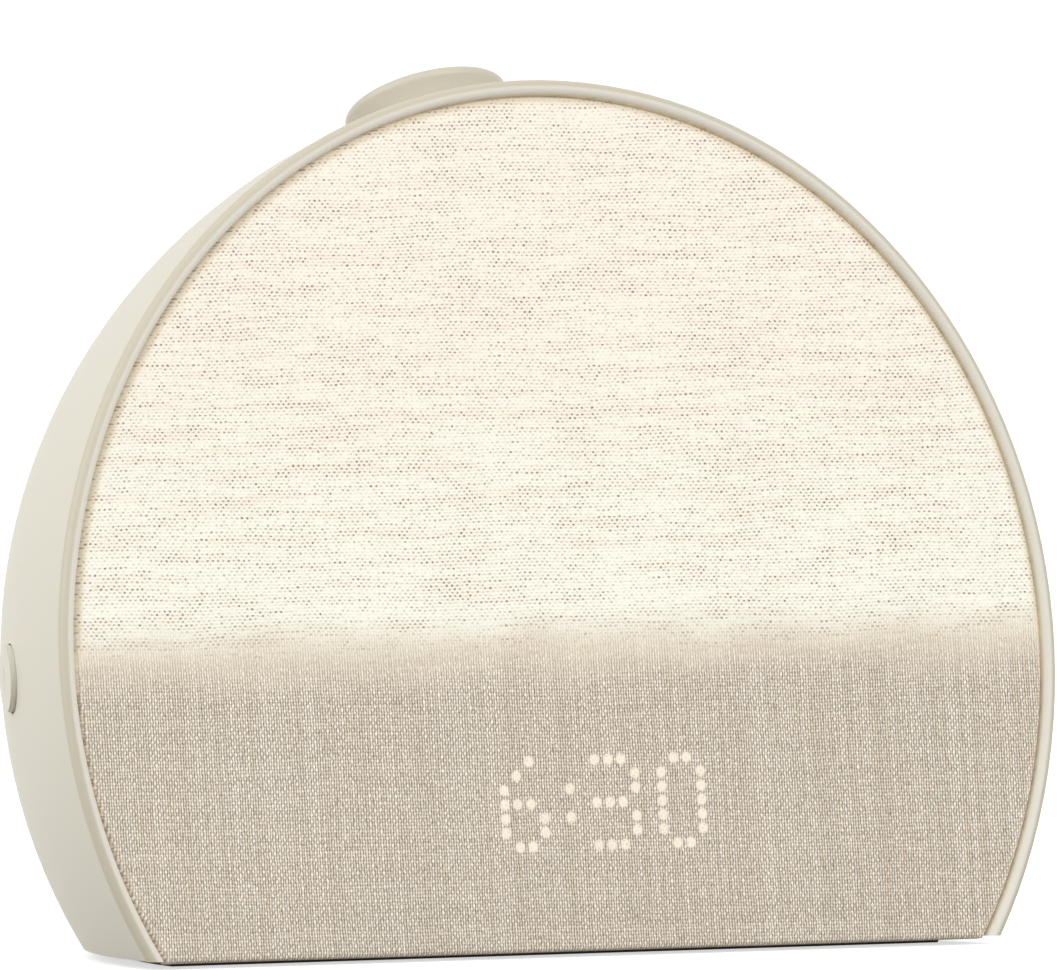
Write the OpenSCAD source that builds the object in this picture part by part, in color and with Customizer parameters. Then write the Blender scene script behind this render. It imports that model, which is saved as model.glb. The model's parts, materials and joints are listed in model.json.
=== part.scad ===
// Sunrise alarm clock: an arched fabric face on a round, cut-off bowl of a
// housing, with a flared push button on top and one round button on each side.
// Origin: on the table, midway between the sides and between front and back.
// The face frame has its origin at the arch's centre on the cloth, x to the
// right, y into the housing and z up along the leaning face.

/* [Overall] */
// Outer radius of the rim round the arched face
rim_r = 105; // [95:1:115]
// Height of the arch's centre above the table
centre_h = 55; // [50:0.2:60]
// Backward lean of the face in degrees
lean = 6.2; // [3:0.2:9]
// Height of the housing's bottom above the table
foot_gap = 1.4; // [0.8:0.1:2]

/* [Housing] */
// Wall thickness of the housing
wall = 2.6; // [2:0.1:3.2]
// Thickness of the housing's floor
floor_t = 3; // [2.6:0.1:4]
// Step from the rim's outer radius down to the housing's front edge
crease_step = 0.6; // [0.2:0.1:1]
// Depth of the parting line between rim and housing
crease_d = 1.7; // [1.3:0.1:2]
// Radius of the housing's side curve
side_arc_r = 120; // [110:1:130]
// Angle at which the side curve starts at the rim
side_start = 5; // [3:0.5:8]
// Angle at which the side curve meets the shoulder
side_end = 34; // [30:1:38]
// Radius of the rounded shoulder
shoulder_r = 55; // [50:1:60]
// Angle at which the shoulder meets the back
shoulder_end = 74; // [71:1:76]

/* [Rim and face] */
// Radius of the rim's rounded bead
bead_r = 1.4; // [1.1:0.1:1.6]
// How far the bead stands in front of the cloth
bead_proud = 0.5; // [0.2:0.1:0.9]
// Gap between the cloth's edge and the bead
cloth_gap = 0.4; // [0.3:0.1:0.6]
// Thickness of the cloth
cloth_t = 0.8; // [0.5:0.1:1.1]
// How far the cloth hangs below the housing's bottom edge
cloth_drop = 0.35; // [0.1:0.05:0.5]
// Thickness of the translucent panel under the cloth
panel_t = 2.2; // [1.8:0.1:2.6]
// Thickness of the rim's inner flange and bulkhead
flange_t = 1.2; // [1:0.1:1.6]
// Radial width of the flange behind the panel's edge
flange_w = 3.8; // [3:0.1:5]
// Length of the rim's skirt inside the housing
skirt_l = 5.8; // [5:0.1:7]
// Thickness of the rim's skirt
skirt_t = 1.5; // [1.2:0.1:1.8]
// Thickness of the housing's lip over the rim
lip_t = 1; // [0.8:0.1:1.2]
// Width of a snap lug
lug_w = 8; // [6:0.5:12]
// Height of a snap lug
lug_h = 1.1; // [0.8:0.1:1.3]

/* [Light box] */
// Depth of the white reflector box
box_depth = 13; // [10:0.5:14]
// Taper of the box's wall towards the back
box_taper = 3.2; // [2:0.1:5]
// Wall thickness of the box
box_wall = 1.6; // [1.2:0.1:2]
// Height of the box's lower wall above the arch's centre
horizon_z = 0.6; // [0.4:0.2:3]
// Spacing of the lamps on the sunrise board
lamp_pitch = 16; // [14:1:20]
// Side of a square lamp
lamp_w = 5; // [3.5:0.1:5.6]
// Thickness of a lamp
lamp_t = 1.2; // [0.8:0.1:1.6]

/* [Display] */
// Columns of dots
dot_cols = 21; // [17:1:21]
// Rows of dots
dot_rows = 7; // [5:1:7]
// Spacing of the dots across
dot_pitch_x = 2.78; // [2.6:0.02:2.8]
// Spacing of the dots in height
dot_pitch_z = 2.6; // [2.5:0.05:2.7]
// Diameter of a dot's well
dot_d = 1.9; // [1.6:0.1:2.1]
// Height of the display's middle below the arch's centre
display_z = 27.3; // [25:0.1:29]
// Depth of the display's dark mask
mask_depth = 6; // [5:0.1:7]

/* [Boards and screws] */
// Thickness of every circuit board
board_t = 1.6; // [1.2:0.1:2]
// Shank diameter of the small screws
small_screw_d = 2; // [1.6:0.1:2.2]
// Shank diameter of the housing's screws
case_screw_d = 2.6; // [2.4:0.1:3]
// Gap between the main board's ends and the base screws' bosses
main_gap = 5; // [3:0.5:6]
// Length of the main board
main_l = 36; // [34:1:38]
// Height of the main board above the base plate
main_lift = 5; // [4:0.5:8]

/* [Base] */
// Inset of the rubber foot from the housing's skin
pad_inset = 6; // [4:0.5:8]
// Depth of the rubber foot's front edge behind the cloth
pad_front = 8; // [6:0.5:10]
// Thickness of the base plate
base_t = 1.6; // [1.4:0.1:1.8]
// Inset of the base plate from the housing's skin
base_inset = 12.6; // [11:0.2:14]

/* [Back] */
// Radius of the round rear cover
cover_r = 40; // [38:0.5:42]
// Thickness of the rear cover
cover_t = 2.2; // [2:0.1:2.5]
// Width of the ledge that carries the rear cover
ledge_w = 6.5; // [6:0.1:7]
// Height of the loudspeaker above the arch's axis
speaker_z = 5.5; // [4.5:0.1:6]
// Radius of the loudspeaker's flange
speaker_r = 25.5; // [24:0.1:25.5]
// Width of a slot in the loudspeaker's grille
slot_w = 1.6; // [1.2:0.1:2]
// Spacing of the grille's slots
slot_pitch = 3.6; // [3:0.1:4.5]
// Radius of the grille's slotted field
grille_r = 19; // [16:0.5:20]
// Distance of the power socket below the arch's axis
jack_drop = 27.8; // [27.4:0.1:27.9]
// Radius of the hole for the power plug
plug_r = 4.2; // [3.8:0.1:4.6]
// Radius of the socket's own bore
jack_bore_r = 3.2; // [3:0.1:3.4]

/* [Top button] */
// Angle of the top button's axis from the face's plane
top_phi = 21.8; // [19.8:0.5:25.8]
// Radius of the button's lip
lip_r = 15.1; // [14:0.1:17]
// Height of the lip above the housing
top_h = 8.5; // [7:0.1:9]
// Radius at the button's foot
top_foot_r = 11.4; // [10.8:0.1:12]
// Rounding of the lip
lip_round = 1.1; // [0.8:0.1:1.5]
// Outward slope of the flank at its foot in degrees
flare = 20; // [0:1:28]
// Radius of the button's stem
stem_r = 6; // [5:0.1:6.4]
// How far the top button travels
top_travel = 1.2; // [0.8:0.1:1.5]
// Turns of the return spring
spring_turns = 5; // [4:1:6]

/* [Side buttons] */
// Angle of a side button's axis from the face's plane
side_phi = 20; // [18:0.5:22]
// Radius of a side button
side_button_r = 6.1; // [5.8:0.1:7]
// How far a side button stands out
side_proud = 1.1; // [0.8:0.1:1.4]
// How far a side button travels
side_travel = 0.8; // [0.4:0.1:0.9]

/* [Fits] */
// Gap round a button in the housing
button_gap = 0.3; // [0.2:0.05:0.45]
// Radial running clearance of the top button's stem
stem_gap = 0.05; // [0.02:0.01:0.1]
// Gap between parts that slip together
fit_gap = 0.3; // [0.2:0.05:0.4]

/* [Hidden] */
$fn = 96;
big = 300;
eps = 0.01;

ivory = [0.87, 0.85, 0.79];
white = [0.95, 0.95, 0.93];
linen = [0.80, 0.75, 0.67];
dark = [0.16, 0.16, 0.14];
board_green = [0.10, 0.32, 0.20];
steel = [0.72, 0.72, 0.72];

// Housing profile: three tangent arcs in radius and depth.
wall_r0 = rim_r - crease_step;
side_c = [wall_r0 - side_arc_r * cos(side_start), crease_d - side_arc_r * sin(side_start)];
side_t = side_c + side_arc_r * dir(side_end);
shoulder_c = side_t - shoulder_r * dir(side_end);
shoulder_t = shoulder_c + shoulder_r * dir(shoulder_end);
crown_r = shoulder_t[0] / cos(shoulder_end);
crown_c = [0, shoulder_t[1] - crown_r * sin(shoulder_end)];

function dir(a) = [cos(a), sin(a)];
// Radius of the skin at a depth, moved inwards by inset.
function side_radius(d, inset) = side_c[0] + sqrt(pow(side_arc_r - inset, 2) - pow(d - side_c[1], 2));
function shoulder_radius(d, inset) =
  shoulder_c[0] + sqrt(pow(shoulder_r - inset, 2) - pow(d - shoulder_c[1], 2));
function skin_r(d, inset = 0) =
  d < side_t[1] - inset * sin(side_end) ? side_radius(d, inset) : shoulder_radius(d, inset);
// Depth of the back's crown at a radius, moved inwards by inset.
function crown_d(r, inset = 0) = crown_c[1] + sqrt(pow(crown_r - inset, 2) - pow(r, 2));
// Height of a level z in the face frame, at a depth behind the cloth.
function face_z(z, d) = (z - centre_h + d * sin(lean)) / cos(lean);
// Depth on the table's y axis of a point in the face frame.
function table_y(d, z) = face_y + d * cos(lean) + z * sin(lean);

rear_reach = crown_c[1] * cos(lean) + crown_r;
front_reach = (centre_h - foot_gap) * tan(lean) + bead_proud / cos(lean);
face_y = (front_reach - rear_reach) / 2;
floor_top = foot_gap + floor_t;

// Rim and face
bead_c = [rim_r - bead_r, bead_r - bead_proud];
bead_in = rim_r - 2 * bead_r;
bead_steps = 18;
cloth_r = bead_in - cloth_gap;
cloth_back = cloth_t + panel_t;
panel_gap = 0.2;
panel_r = cloth_r - cloth_t - panel_gap;
bulkhead_back = cloth_back + flange_t;
skirt_end = bulkhead_back + skirt_l;
skirt_out = skin_r(skirt_end, wall) - fit_gap;
skirt_in = skirt_out - skirt_t;
rebate_r = wall_r0 - lip_t;
rebate_d = bulkhead_back + fit_gap;
flange_in = cloth_r - flange_w;
lug_angles = [-100, -60, -20, 20, 60, 100];
lug_l = 2.2;
lug_d = skirt_end - lug_l - 0.6;

// Light box
box_front_r = flange_in - fit_gap;
box_back = cloth_back + box_depth;
box_back_r = box_front_r - box_taper;
box_flange_w = 6;
box_lip_t = 1.6;
box_boss_r = 2.6;
box_boss_l = 5;
box_screw_r = box_back_r - box_wall - box_boss_r - 0.6;
box_screw_angles = [-70, -35, 0, 35, 70];
box_ears = [-74, -30, 30, 74];
ear_w = 8;
ear_t = 2;
ear_drop = 7.5;
ear_z = horizon_z - 4.2;
ear_d = bulkhead_back + 3.8;
lamp_edge = 9;
lamp_count = floor(box_back_r / lamp_pitch);

// Display
mask_w = (dot_cols + 1) * dot_pitch_x + 1.5;
mask_h = (dot_rows + 1) * dot_pitch_z + 1.8;
mask_back = cloth_back + mask_depth;
display_boss_r = 2.6;
display_boss_x = mask_w / 2 + fit_gap + display_boss_r + 0.5;
display_boss_z = mask_h / 2 - 2.5;
display_w = 2 * (display_boss_x + display_boss_r + 0.4);
display_h = mask_h + 8;
chip = [1.6, 0.6, 0.8];

// Screws
screw_gap = 0.05;
head_ratio = 1.9;
head_h_ratio = 0.6;
hole_gap = 0.3;

// Base
base_screw_inset = base_inset + 3.2;
base_opening = base_inset + 6.4;
base_front = 12;
base_boss_r = 3.4;
base_screw_depths = [20, 38, 56];
base_boss_h = 8;
main_z = foot_gap + base_t + main_lift;
main_y = -4;
main_boss_r = 3;
main_w = 2 * (base_screw_x(base_screw_depths[2]) - base_boss_r - main_gap);
main_boss_x = main_w / 2 - 5;
main_boss_y = main_l / 2 - 5;
shield = [20, 20, 2.6];
choke = [9, 9, 4.2];
capacitor_d = 6.3;
capacitor_l = 7;
capacitor_pitch = 7.2;
header = [10, 4.5, 5];
header_x = [-12, 2];
parts_gap = (main_w - shield[0] - choke[0] - capacitor_d) / 4;

// Back
ledge_r = cover_r - ledge_w;
ledge_t = 2.6;
cover_screw_r = ledge_r + 3.2;
cover_boss_r = 3;
cover_boss_l = 5.5;
cover_screw_angles = [45, 135, 225, 315];
seat_r = speaker_r + 1;
seat_d = crown_d(speaker_z + seat_r, cover_t) - 0.9;
seat_in = grille_r + 1.2;
grille_cloth_t = 0.4;
gasket_t = 0.8;
speaker_flange_t = 1.5;
flange_face = seat_d - grille_cloth_t - gasket_t;
flange_back = flange_face - speaker_flange_t;
basket_wall = 1.2;
speaker_screw_r = seat_in + basket_wall + small_screw_d * head_ratio / 2 + 0.15;
basket_r = 13;
basket_l = 12.8;
magnet_r = 14;
magnet_l = 9;
cone_t = 0.7;
dust_r = 6.8;
jack_size = [9, 14, 10];
jack_board_w = 26;
jack_face = crown_d(jack_drop + jack_size[2] / 2, cover_t) - fit_gap;
jack_back = jack_face - jack_size[1];
jack_pin_r = 1.05;
jack_pin_recess = 2.4;
jack_post_x = 9.8;
jack_post_r = 2.4;

// Top button, in its own frame: z outwards, zero at the housing's skin
top_boss_r = 17.5;
top_seat = 6;
top_skirt = 2.6;
top_foot = [top_foot_r, 0.5];
lip_c = [lip_r - lip_round, top_h - lip_round];
flank_dir = [cos(flare), -sin(flare)];
flank_r = (norm(top_foot - lip_c) ^ 2 - lip_round ^ 2) / (2 * (lip_round - (top_foot - lip_c) * flank_dir));
flank_c = top_foot + flank_r * flank_dir;
flank_t = flank_c + flank_r * (lip_c - flank_c) / norm(lip_c - flank_c);
dish_r = lip_r - 3;
dish_depth = 0.8;
dish_sphere = (dish_r ^ 2 + dish_depth ^ 2) / (2 * dish_depth);
pocket_r = 9.6;
pocket_top = 3;
guide_t = 2;
bush_l = 4;
bush_r = stem_r + 2.6;
bush_end = top_seat + guide_t + bush_l;
clip_t = 0.7;
clip_gap = 0.25;
clip_z = bush_end + clip_gap;
clip_r = stem_r + 2;
groove_depth = 1;
stem_end = clip_z + clip_t + 1.2;
guide_screw_r = 14.6;
guide_screw_angles = [90, 210, 330];
guide_screw_bite = 3.4;
leg_screw_bite = 4;
ear_screw_bite = 3.2;
jack_screw_bite = 5;
rear_cut_d = 60;
leg_x = 13.5;
leg = [3, 6];
spring_wire_r = 0.45;
spring_r = (stem_r + pocket_r) / 2;
switch_w = 6.2;
switch_h = 3.6;
plunger_r = 1.75;
plunger_bore_r = 1.95;
plunger_in = 1.8;
top_switch_face = stem_end + top_travel + 0.3;
top_board_z = top_switch_face + switch_h;
top_board_w = 36;
top_board_l = 11;

// Side buttons, in their own frame: z outwards, zero at the housing's skin
side_flange_r = side_button_r + 1.4;
side_flange_z = wall + 0.9;
side_flange_t = 1.1;
side_post_r = 2.2;
side_post_end = side_flange_z + side_flange_t + 3;
side_switch_face = side_post_end + side_travel + 0.3;
side_board_z = side_switch_face + switch_h;
side_boss_x = 13;
side_boss_r = 3;
side_board_w = 33;
side_board_l = 12;

// Frames

module face_frame()
  translate([0, face_y, centre_h])
    rotate([-lean, 0, 0])
      children();

// Frame on the skin: turn is measured round the axis from the top.
module skin_frame(phi, turn)
  face_frame()
    rotate([0, turn, 0])
      translate([0, side_c[1] + side_arc_r * sin(phi), side_c[0] + side_arc_r * cos(phi)])
        rotate([-phi, 0, 0])
          children();

module top_frame()
  skin_frame(top_phi, 0)
    children();

module side_frame(turn)
  skin_frame(side_phi, turn)
    children();

// Everything between two levels above the table
module level(low, high)
  translate([-big, -big, low])
    cube([2 * big, 2 * big, high - low]);

// Round disc or ring on the face's axis, from depth d0 to d1
module disc(r, d0, d1)
  translate([0, d0, 0])
    rotate([-90, 0, 0])
      cylinder(r = r, h = d1 - d0);

module ring(r_out, r_in, d0, d1)
  difference() {
    disc(r_out, d0, d1);
    disc(r_in, d0 - 1, d1 + 1);
  }

// A profile in radius and depth, turned about the face's axis
module turned()
  rotate([-90, 0, 0])
    rotate_extrude($fn = 180)
      children();

// Wedge of a circle between two directions
module sector(centre, r, dir1, dir2)
  intersection() {
    translate(centre)
      circle(r = r, $fn = 180);
    polygon([centre, centre + big * dir1, centre + big * dir2]);
  }

// Half profile of the bowl, moved inwards by inset, from depth d0 back
module bowl_2d(inset, d0)
  intersection() {
    union() {
      sector(side_c, side_arc_r - inset, [1, -1], dir(side_end));
      translate(shoulder_c)
        circle(r = shoulder_r - inset, $fn = 180);
      sector(crown_c, crown_r - inset, dir(shoulder_end), [-0.2, 1]);
    }
    translate([0, d0])
      square([big, big]);
  }

module bowl(inset, d0)
  face_frame()
    turned()
      bowl_2d(inset, d0);

// Small parts

// Pan-head screw, head's seat at z = 0, shank downwards
module screw(d, l) {
  head_r = d * head_ratio / 2;
  head_h = d * head_h_ratio;
  slot = [head_r * 1.2, d * 0.22, head_h];
  translate([0, 0, -l])
    cylinder(r = d / 2, h = l + eps, $fn = 24);
  difference() {
    cylinder(r = head_r, h = head_h, $fn = 32);
    for (turn = [0, 90])
      rotate([0, 0, turn])
        translate([-slot[0] / 2, -slot[1] / 2, head_h * 0.4])
          cube(slot);
  }
}

module screw_hole(d, l)
  translate([0, 0, -l])
    cylinder(r = d / 2 + screw_gap, h = l + 1, $fn = 24);

module pass_hole(d, l)
  translate([0, 0, -l])
    cylinder(r = d / 2 + hole_gap, h = 2 * l, $fn = 24);

// Places a child that points out of the back, in the face frame
module backward(x, d, z)
  translate([x, d, z])
    rotate([-90, 0, 0])
      children();

// Places a child that points at the front, in the face frame
module forward(x, d, z)
  translate([x, d, z])
    rotate([90, 0, 0])
      children();

module around(angles, r)
  for (a = angles)
    rotate([0, 0, a])
      translate([r, 0, 0])
        children();

module both_ways(x, y)
  for (sx = [-1, 1], sy = [-1, 1])
    translate([sx * x, sy * y, 0])
      children();

// Tactile switch body with its face at z = -face
module switch_body(face) {
  translate([-switch_w / 2, -switch_w / 2, -face - switch_h])
    difference() {
      cube([switch_w, switch_w, switch_h]);
      translate([switch_w / 2, switch_w / 2, 0.3])
        cylinder(r = plunger_bore_r, h = switch_h);
    }
}

module switch_plunger(top, face)
  translate([0, 0, -face - plunger_in])
    cylinder(r = plunger_r, h = face + plunger_in - top);

// Housing

function base_screw_x(d) =
  sqrt(pow(skin_r(d, base_screw_inset), 2) - pow(face_z(foot_gap, d), 2));
function base_screw_y(d) = table_y(d, face_z(foot_gap, d));

module base_screw_places()
  for (d = base_screw_depths, side = [-1, 1])
    translate([side * base_screw_x(d), base_screw_y(d), 0])
      children();

module shell_bosses() {
  top_frame()
    translate([0, 0, -top_seat])
      cylinder(r = top_boss_r, h = top_seat);
  for (turn = [-90, 90], side = [-1, 1])
    side_frame(turn)
      translate([side * side_boss_x, 0, -side_board_z])
        cylinder(r = side_boss_r, h = side_board_z);
  base_screw_places()
    translate([0, 0, foot_gap + base_t])
      cylinder(r = base_boss_r, h = base_boss_h);
  face_frame()
    around_axis(cover_screw_angles, cover_screw_r)
      translate([0, crown_d(cover_screw_r, cover_t) - cover_boss_l, 0])
        rotate([-90, 0, 0])
          cylinder(r = cover_boss_r, h = cover_boss_l);
}

module around_axis(angles, r)
  for (a = angles)
    translate([r * cos(a), 0, r * sin(a)])
      children();

module shell_skin()
  difference() {
    intersection() {
      bowl(0, crease_d);
      level(foot_gap, big);
    }
    intersection() {
      bowl(wall, -10);
      level(floor_top, big);
    }
  }

module rear_ledge()
  intersection() {
    difference() {
      bowl(cover_t - 0.3, 50);
      bowl(cover_t + ledge_t, 40);
    }
    face_frame()
      ring(cover_r + 4, ledge_r, 50, big);
    level(foot_gap, big);
  }

module lug(grow) {
  w = lug_w + 2 * grow;
  translate([-w / 2, lug_d - grow, skirt_out - 1 - grow])
    cube([w, lug_l + 2 * grow, lug_h + 1 + 2 * grow]);
}

module body_shell()
  color(ivory)
    difference() {
      union() {
        shell_skin();
        rear_ledge();
        intersection() {
          shell_bosses();
          bowl(0.5, rebate_d);
          level(foot_gap + 0.5, big);
        }
      }
      face_frame() {
        disc(rebate_r, -10, rebate_d);
        disc(ledge_r, rear_cut_d, big);
        for (a = lug_angles)
          rotate([0, a, 0])
            lug(fit_gap);
        around_axis(cover_screw_angles, cover_screw_r)
          translate([0, crown_d(cover_screw_r, cover_t), 0])
            rotate([-90, 0, 0])
              screw_hole(case_screw_d, cover_boss_l + 1);
      }
      difference() {
        face_frame()
          disc(cover_r + fit_gap, rear_cut_d, big);
        bowl(cover_t, 50);
      }
      top_frame() {
        translate([0, 0, -big / 3])
          cylinder(r = top_foot_r + button_gap, h = big);
        around(guide_screw_angles, guide_screw_r)
          translate([0, 0, -top_seat])
            rotate([180, 0, 0])
              screw_hole(small_screw_d, 4);
      }
      for (turn = [-90, 90])
        side_frame(turn) {
          translate([0, 0, -30])
            cylinder(r = side_button_r + button_gap, h = 60);
          for (side = [-1, 1])
            translate([side * side_boss_x, 0, -side_board_z])
              rotate([180, 0, 0])
                screw_hole(small_screw_d, 6);
        }
      intersection() {
        bowl(base_inset - fit_gap, base_front - fit_gap);
        level(-1, foot_gap + base_t);
      }
      intersection() {
        bowl(base_opening, base_front + 5);
        level(-1, floor_top + 1);
      }
      base_screw_places()
        translate([0, 0, foot_gap])
          rotate([180, 0, 0])
            screw_hole(case_screw_d, base_t + base_boss_h - 1);
    }

// Front: rim, cloth, panel

module bezel_rings() {
  bead_end = asin((crease_d - bead_c[1]) / bead_r);
  rebate_in = rebate_r - fit_gap;
  turned()
    polygon(concat(
      [for (i = [0 : bead_steps]) bead_c + bead_r * dir(180 + (180 + bead_end) * i / bead_steps)],
      [[rebate_in, crease_d], [rebate_in, bulkhead_back], [flange_in, bulkhead_back],
       [flange_in, cloth_back], [bead_in, cloth_back]]
    ));
}

module skirt()
  ring(skirt_out, skirt_in, bulkhead_back - eps, skirt_end);

module bulkhead()
  intersection() {
    disc(flange_in + 1, cloth_back, bulkhead_back);
    translate([-big, -big, -big])
      cube([2 * big, 2 * big, big + horizon_z - 0.4]);
  }

module display_places()
  translate([0, 0, -display_z])
    for (sx = [-1, 1], sz = [-1, 1])
      translate([sx * display_boss_x, 0, sz * display_boss_z])
        children();

module front_bezel()
  color(ivory)
    difference() {
      union() {
        intersection() {
          face_frame()
            bezel_rings();
          level(foot_gap, big);
        }
        intersection() {
          face_frame()
            bulkhead();
          level(foot_gap, big);
        }
        intersection() {
          face_frame() {
            skirt();
            for (a = lug_angles)
              rotate([0, a, 0])
                lug(0);
          }
          level(floor_top + fit_gap, big);
        }
        face_frame() {
          display_places()
            backward(0, bulkhead_back - eps, 0)
              cylinder(r = display_boss_r, h = mask_back - bulkhead_back + eps);
          for (x = box_ears)
            backward(x, bulkhead_back - eps, ear_z)
              cylinder(r = 3, h = ear_d - bulkhead_back + eps);
        }
      }
      face_frame() {
        translate([-mask_w / 2 - fit_gap, 0, -display_z - mask_h / 2 - fit_gap])
          cube([mask_w + 2 * fit_gap, 20, mask_h + 2 * fit_gap]);
        display_places()
          backward(0, mask_back, 0)
            screw_hole(small_screw_d, mask_depth - 1);
        for (x = box_ears)
          backward(x, ear_d, ear_z)
            screw_hole(small_screw_d, ear_d - cloth_back - 0.8);
      }
    }

module cloth_block(r, d0, d1, low)
  intersection() {
    face_frame()
      disc(r, d0, d1);
    level(low, big);
  }

module fabric_cover()
  color(linen)
    difference() {
      cloth_block(cloth_r, 0, cloth_back, foot_gap - cloth_drop);
      cloth_block(cloth_r - cloth_t, cloth_t, big, foot_gap - cloth_drop + cloth_t);
    }

module front_panel()
  color(white)
    cloth_block(panel_r, cloth_t, cloth_back, foot_gap - cloth_drop + cloth_t + panel_gap);

// Sunrise lamp

module above_horizon(z)
  translate([-big, -big, z])
    cube([2 * big, 2 * big, 2 * big]);

module light_box()
  color(white)
    face_frame()
      difference() {
        union() {
          difference() {
            intersection() {
              turned()
                polygon([[0, cloth_back], [box_front_r, cloth_back],
                         [box_back_r, box_back], [0, box_back]]);
              above_horizon(horizon_z);
            }
            intersection() {
              turned()
                polygon([[0, cloth_back - 1], [box_front_r - box_wall, cloth_back - 1],
                         [box_front_r - box_wall, cloth_back + 0.5],
                         [box_back_r - box_wall, box_back - box_lip_t],
                         [box_back_r - box_flange_w, box_back - box_lip_t],
                         [box_back_r - box_flange_w, box_back + 1], [0, box_back + 1]]);
              above_horizon(horizon_z + box_wall);
            }
          }
          for (a = box_screw_angles)
            rotate([0, a, 0])
              backward(0, box_back - box_boss_l, box_screw_r)
                rotate([0, 0, 40])
                  cylinder(r = box_boss_r, h = box_boss_l);
          for (x = box_ears)
            translate([x - ear_w / 2, ear_d, horizon_z - ear_drop])
              cube([ear_w, ear_t, ear_drop + box_wall / 2]);
        }
        for (a = box_screw_angles)
          rotate([0, a, 0])
            backward(0, box_back, box_screw_r)
              screw_hole(small_screw_d, box_boss_l - 0.8);
        for (x = box_ears)
          backward(x, ear_d, ear_z)
            pass_hole(small_screw_d, ear_t + 1);
      }

module sunrise_board()
  color(board_green)
    face_frame()
      difference() {
        intersection() {
          disc(box_back_r, box_back, box_back + board_t);
          above_horizon(horizon_z);
        }
        for (a = box_screw_angles)
          rotate([0, a, 0])
            backward(0, box_back, box_screw_r)
              pass_hole(small_screw_d, board_t + 1);
      }

module sunrise_leds()
  color("lightyellow")
    face_frame()
      for (i = [-lamp_count : lamp_count], j = [0 : lamp_count]) {
        x = i * lamp_pitch;
        z = horizon_z + lamp_edge + lamp_w / 2 + j * lamp_pitch;
        if (norm([x, z]) < box_back_r - box_wall - box_flange_w - lamp_w)
          translate([x - lamp_w / 2, box_back - lamp_t, z - lamp_w / 2])
            cube([lamp_w, lamp_t, lamp_w]);
      }

// Display

function dot_x(i) = (i - (dot_cols - 1) / 2) * dot_pitch_x;
function dot_z(j) = (j - (dot_rows - 1) / 2) * dot_pitch_z;

module display_mask()
  color(dark)
    face_frame()
      translate([0, cloth_back, -display_z])
        rotate([-90, 0, 0])
          linear_extrude(mask_depth)
            difference() {
              square([mask_w, mask_h], center = true);
              for (i = [0 : dot_cols - 1], j = [0 : dot_rows - 1])
                translate([dot_x(i), dot_z(j)])
                  circle(d = dot_d, $fn = 24);
            }

module display_leds()
  color("white")
    face_frame()
      translate([0, mask_back - chip[1], -display_z])
        for (i = [0 : dot_cols - 1], j = [0 : dot_rows - 1])
          translate([dot_x(i) - chip[0] / 2, 0, dot_z(j) - chip[2] / 2])
            cube(chip);

module display_board()
  color(board_green)
    face_frame()
      difference() {
        translate([-display_w / 2, mask_back, -display_z - display_h / 2])
          cube([display_w, board_t, display_h]);
        display_places()
          backward(0, mask_back, 0)
            pass_hole(small_screw_d, board_t + 1);
      }

// Electronics on the base plate

module main_places()
  translate([0, main_y, 0])
    both_ways(main_boss_x, main_boss_y)
      children();

module main_board()
  color(board_green)
    difference() {
      translate([-main_w / 2, main_y - main_l / 2, main_z])
        cube([main_w, main_l, board_t]);
      main_places()
        translate([0, 0, main_z])
          pass_hole(small_screw_d, board_t + 1);
    }

// Processor shield, choke, three capacitors and two connectors
module board_parts()
  color(steel)
    translate([0, main_y, main_z + board_t]) {
      translate([parts_gap - main_w / 2, -shield[1] / 2, 0])
        cube(shield);
      translate([2 * parts_gap + shield[0] - main_w / 2, -choke[1], 0])
        cube(choke);
      for (i = [-1 : 1])
        translate([main_w / 2 - parts_gap - capacitor_d / 2, i * capacitor_pitch, 0])
          cylinder(d = capacitor_d, h = capacitor_l, $fn = 32);
      for (x = header_x)
        translate([x, main_l / 2 - header[1] - 1.5, 0])
          cube(header);
    }

module base_plate()
  color(dark)
    difference() {
      union() {
        intersection() {
          bowl(base_inset, base_front);
          level(foot_gap, foot_gap + base_t);
        }
        main_places()
          translate([0, 0, foot_gap + base_t - eps])
            cylinder(r = main_boss_r, h = main_lift + eps);
      }
      main_places()
        translate([0, 0, main_z])
          screw_hole(small_screw_d, main_lift);
      base_screw_places()
        translate([0, 0, foot_gap]) {
          pass_hole(case_screw_d, base_t + 1);
          translate([0, 0, -1])
            cylinder(r = case_screw_d * head_ratio / 2 + hole_gap, h = 1 + base_t / 2, $fn = 32);
        }
    }

module foot_pad()
  color(dark)
    intersection() {
      bowl(pad_inset, pad_front);
      level(0, foot_gap);
    }

// Back

module slot(l)
  backward(0, 60, 0) {
    translate([-l / 2, -slot_w / 2, 0])
      cube([l, slot_w, 60]);
    for (side = [-1, 1])
      translate([side * l / 2, 0, 0])
        cylinder(d = slot_w, h = 60, $fn = 24);
  }

slot_rows = floor((grille_r - slot_w) / slot_pitch);

module speaker_screw_places()
  translate([0, 0, speaker_z])
    around_axis([45, 135, 225, 315], speaker_screw_r)
      children();

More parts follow.
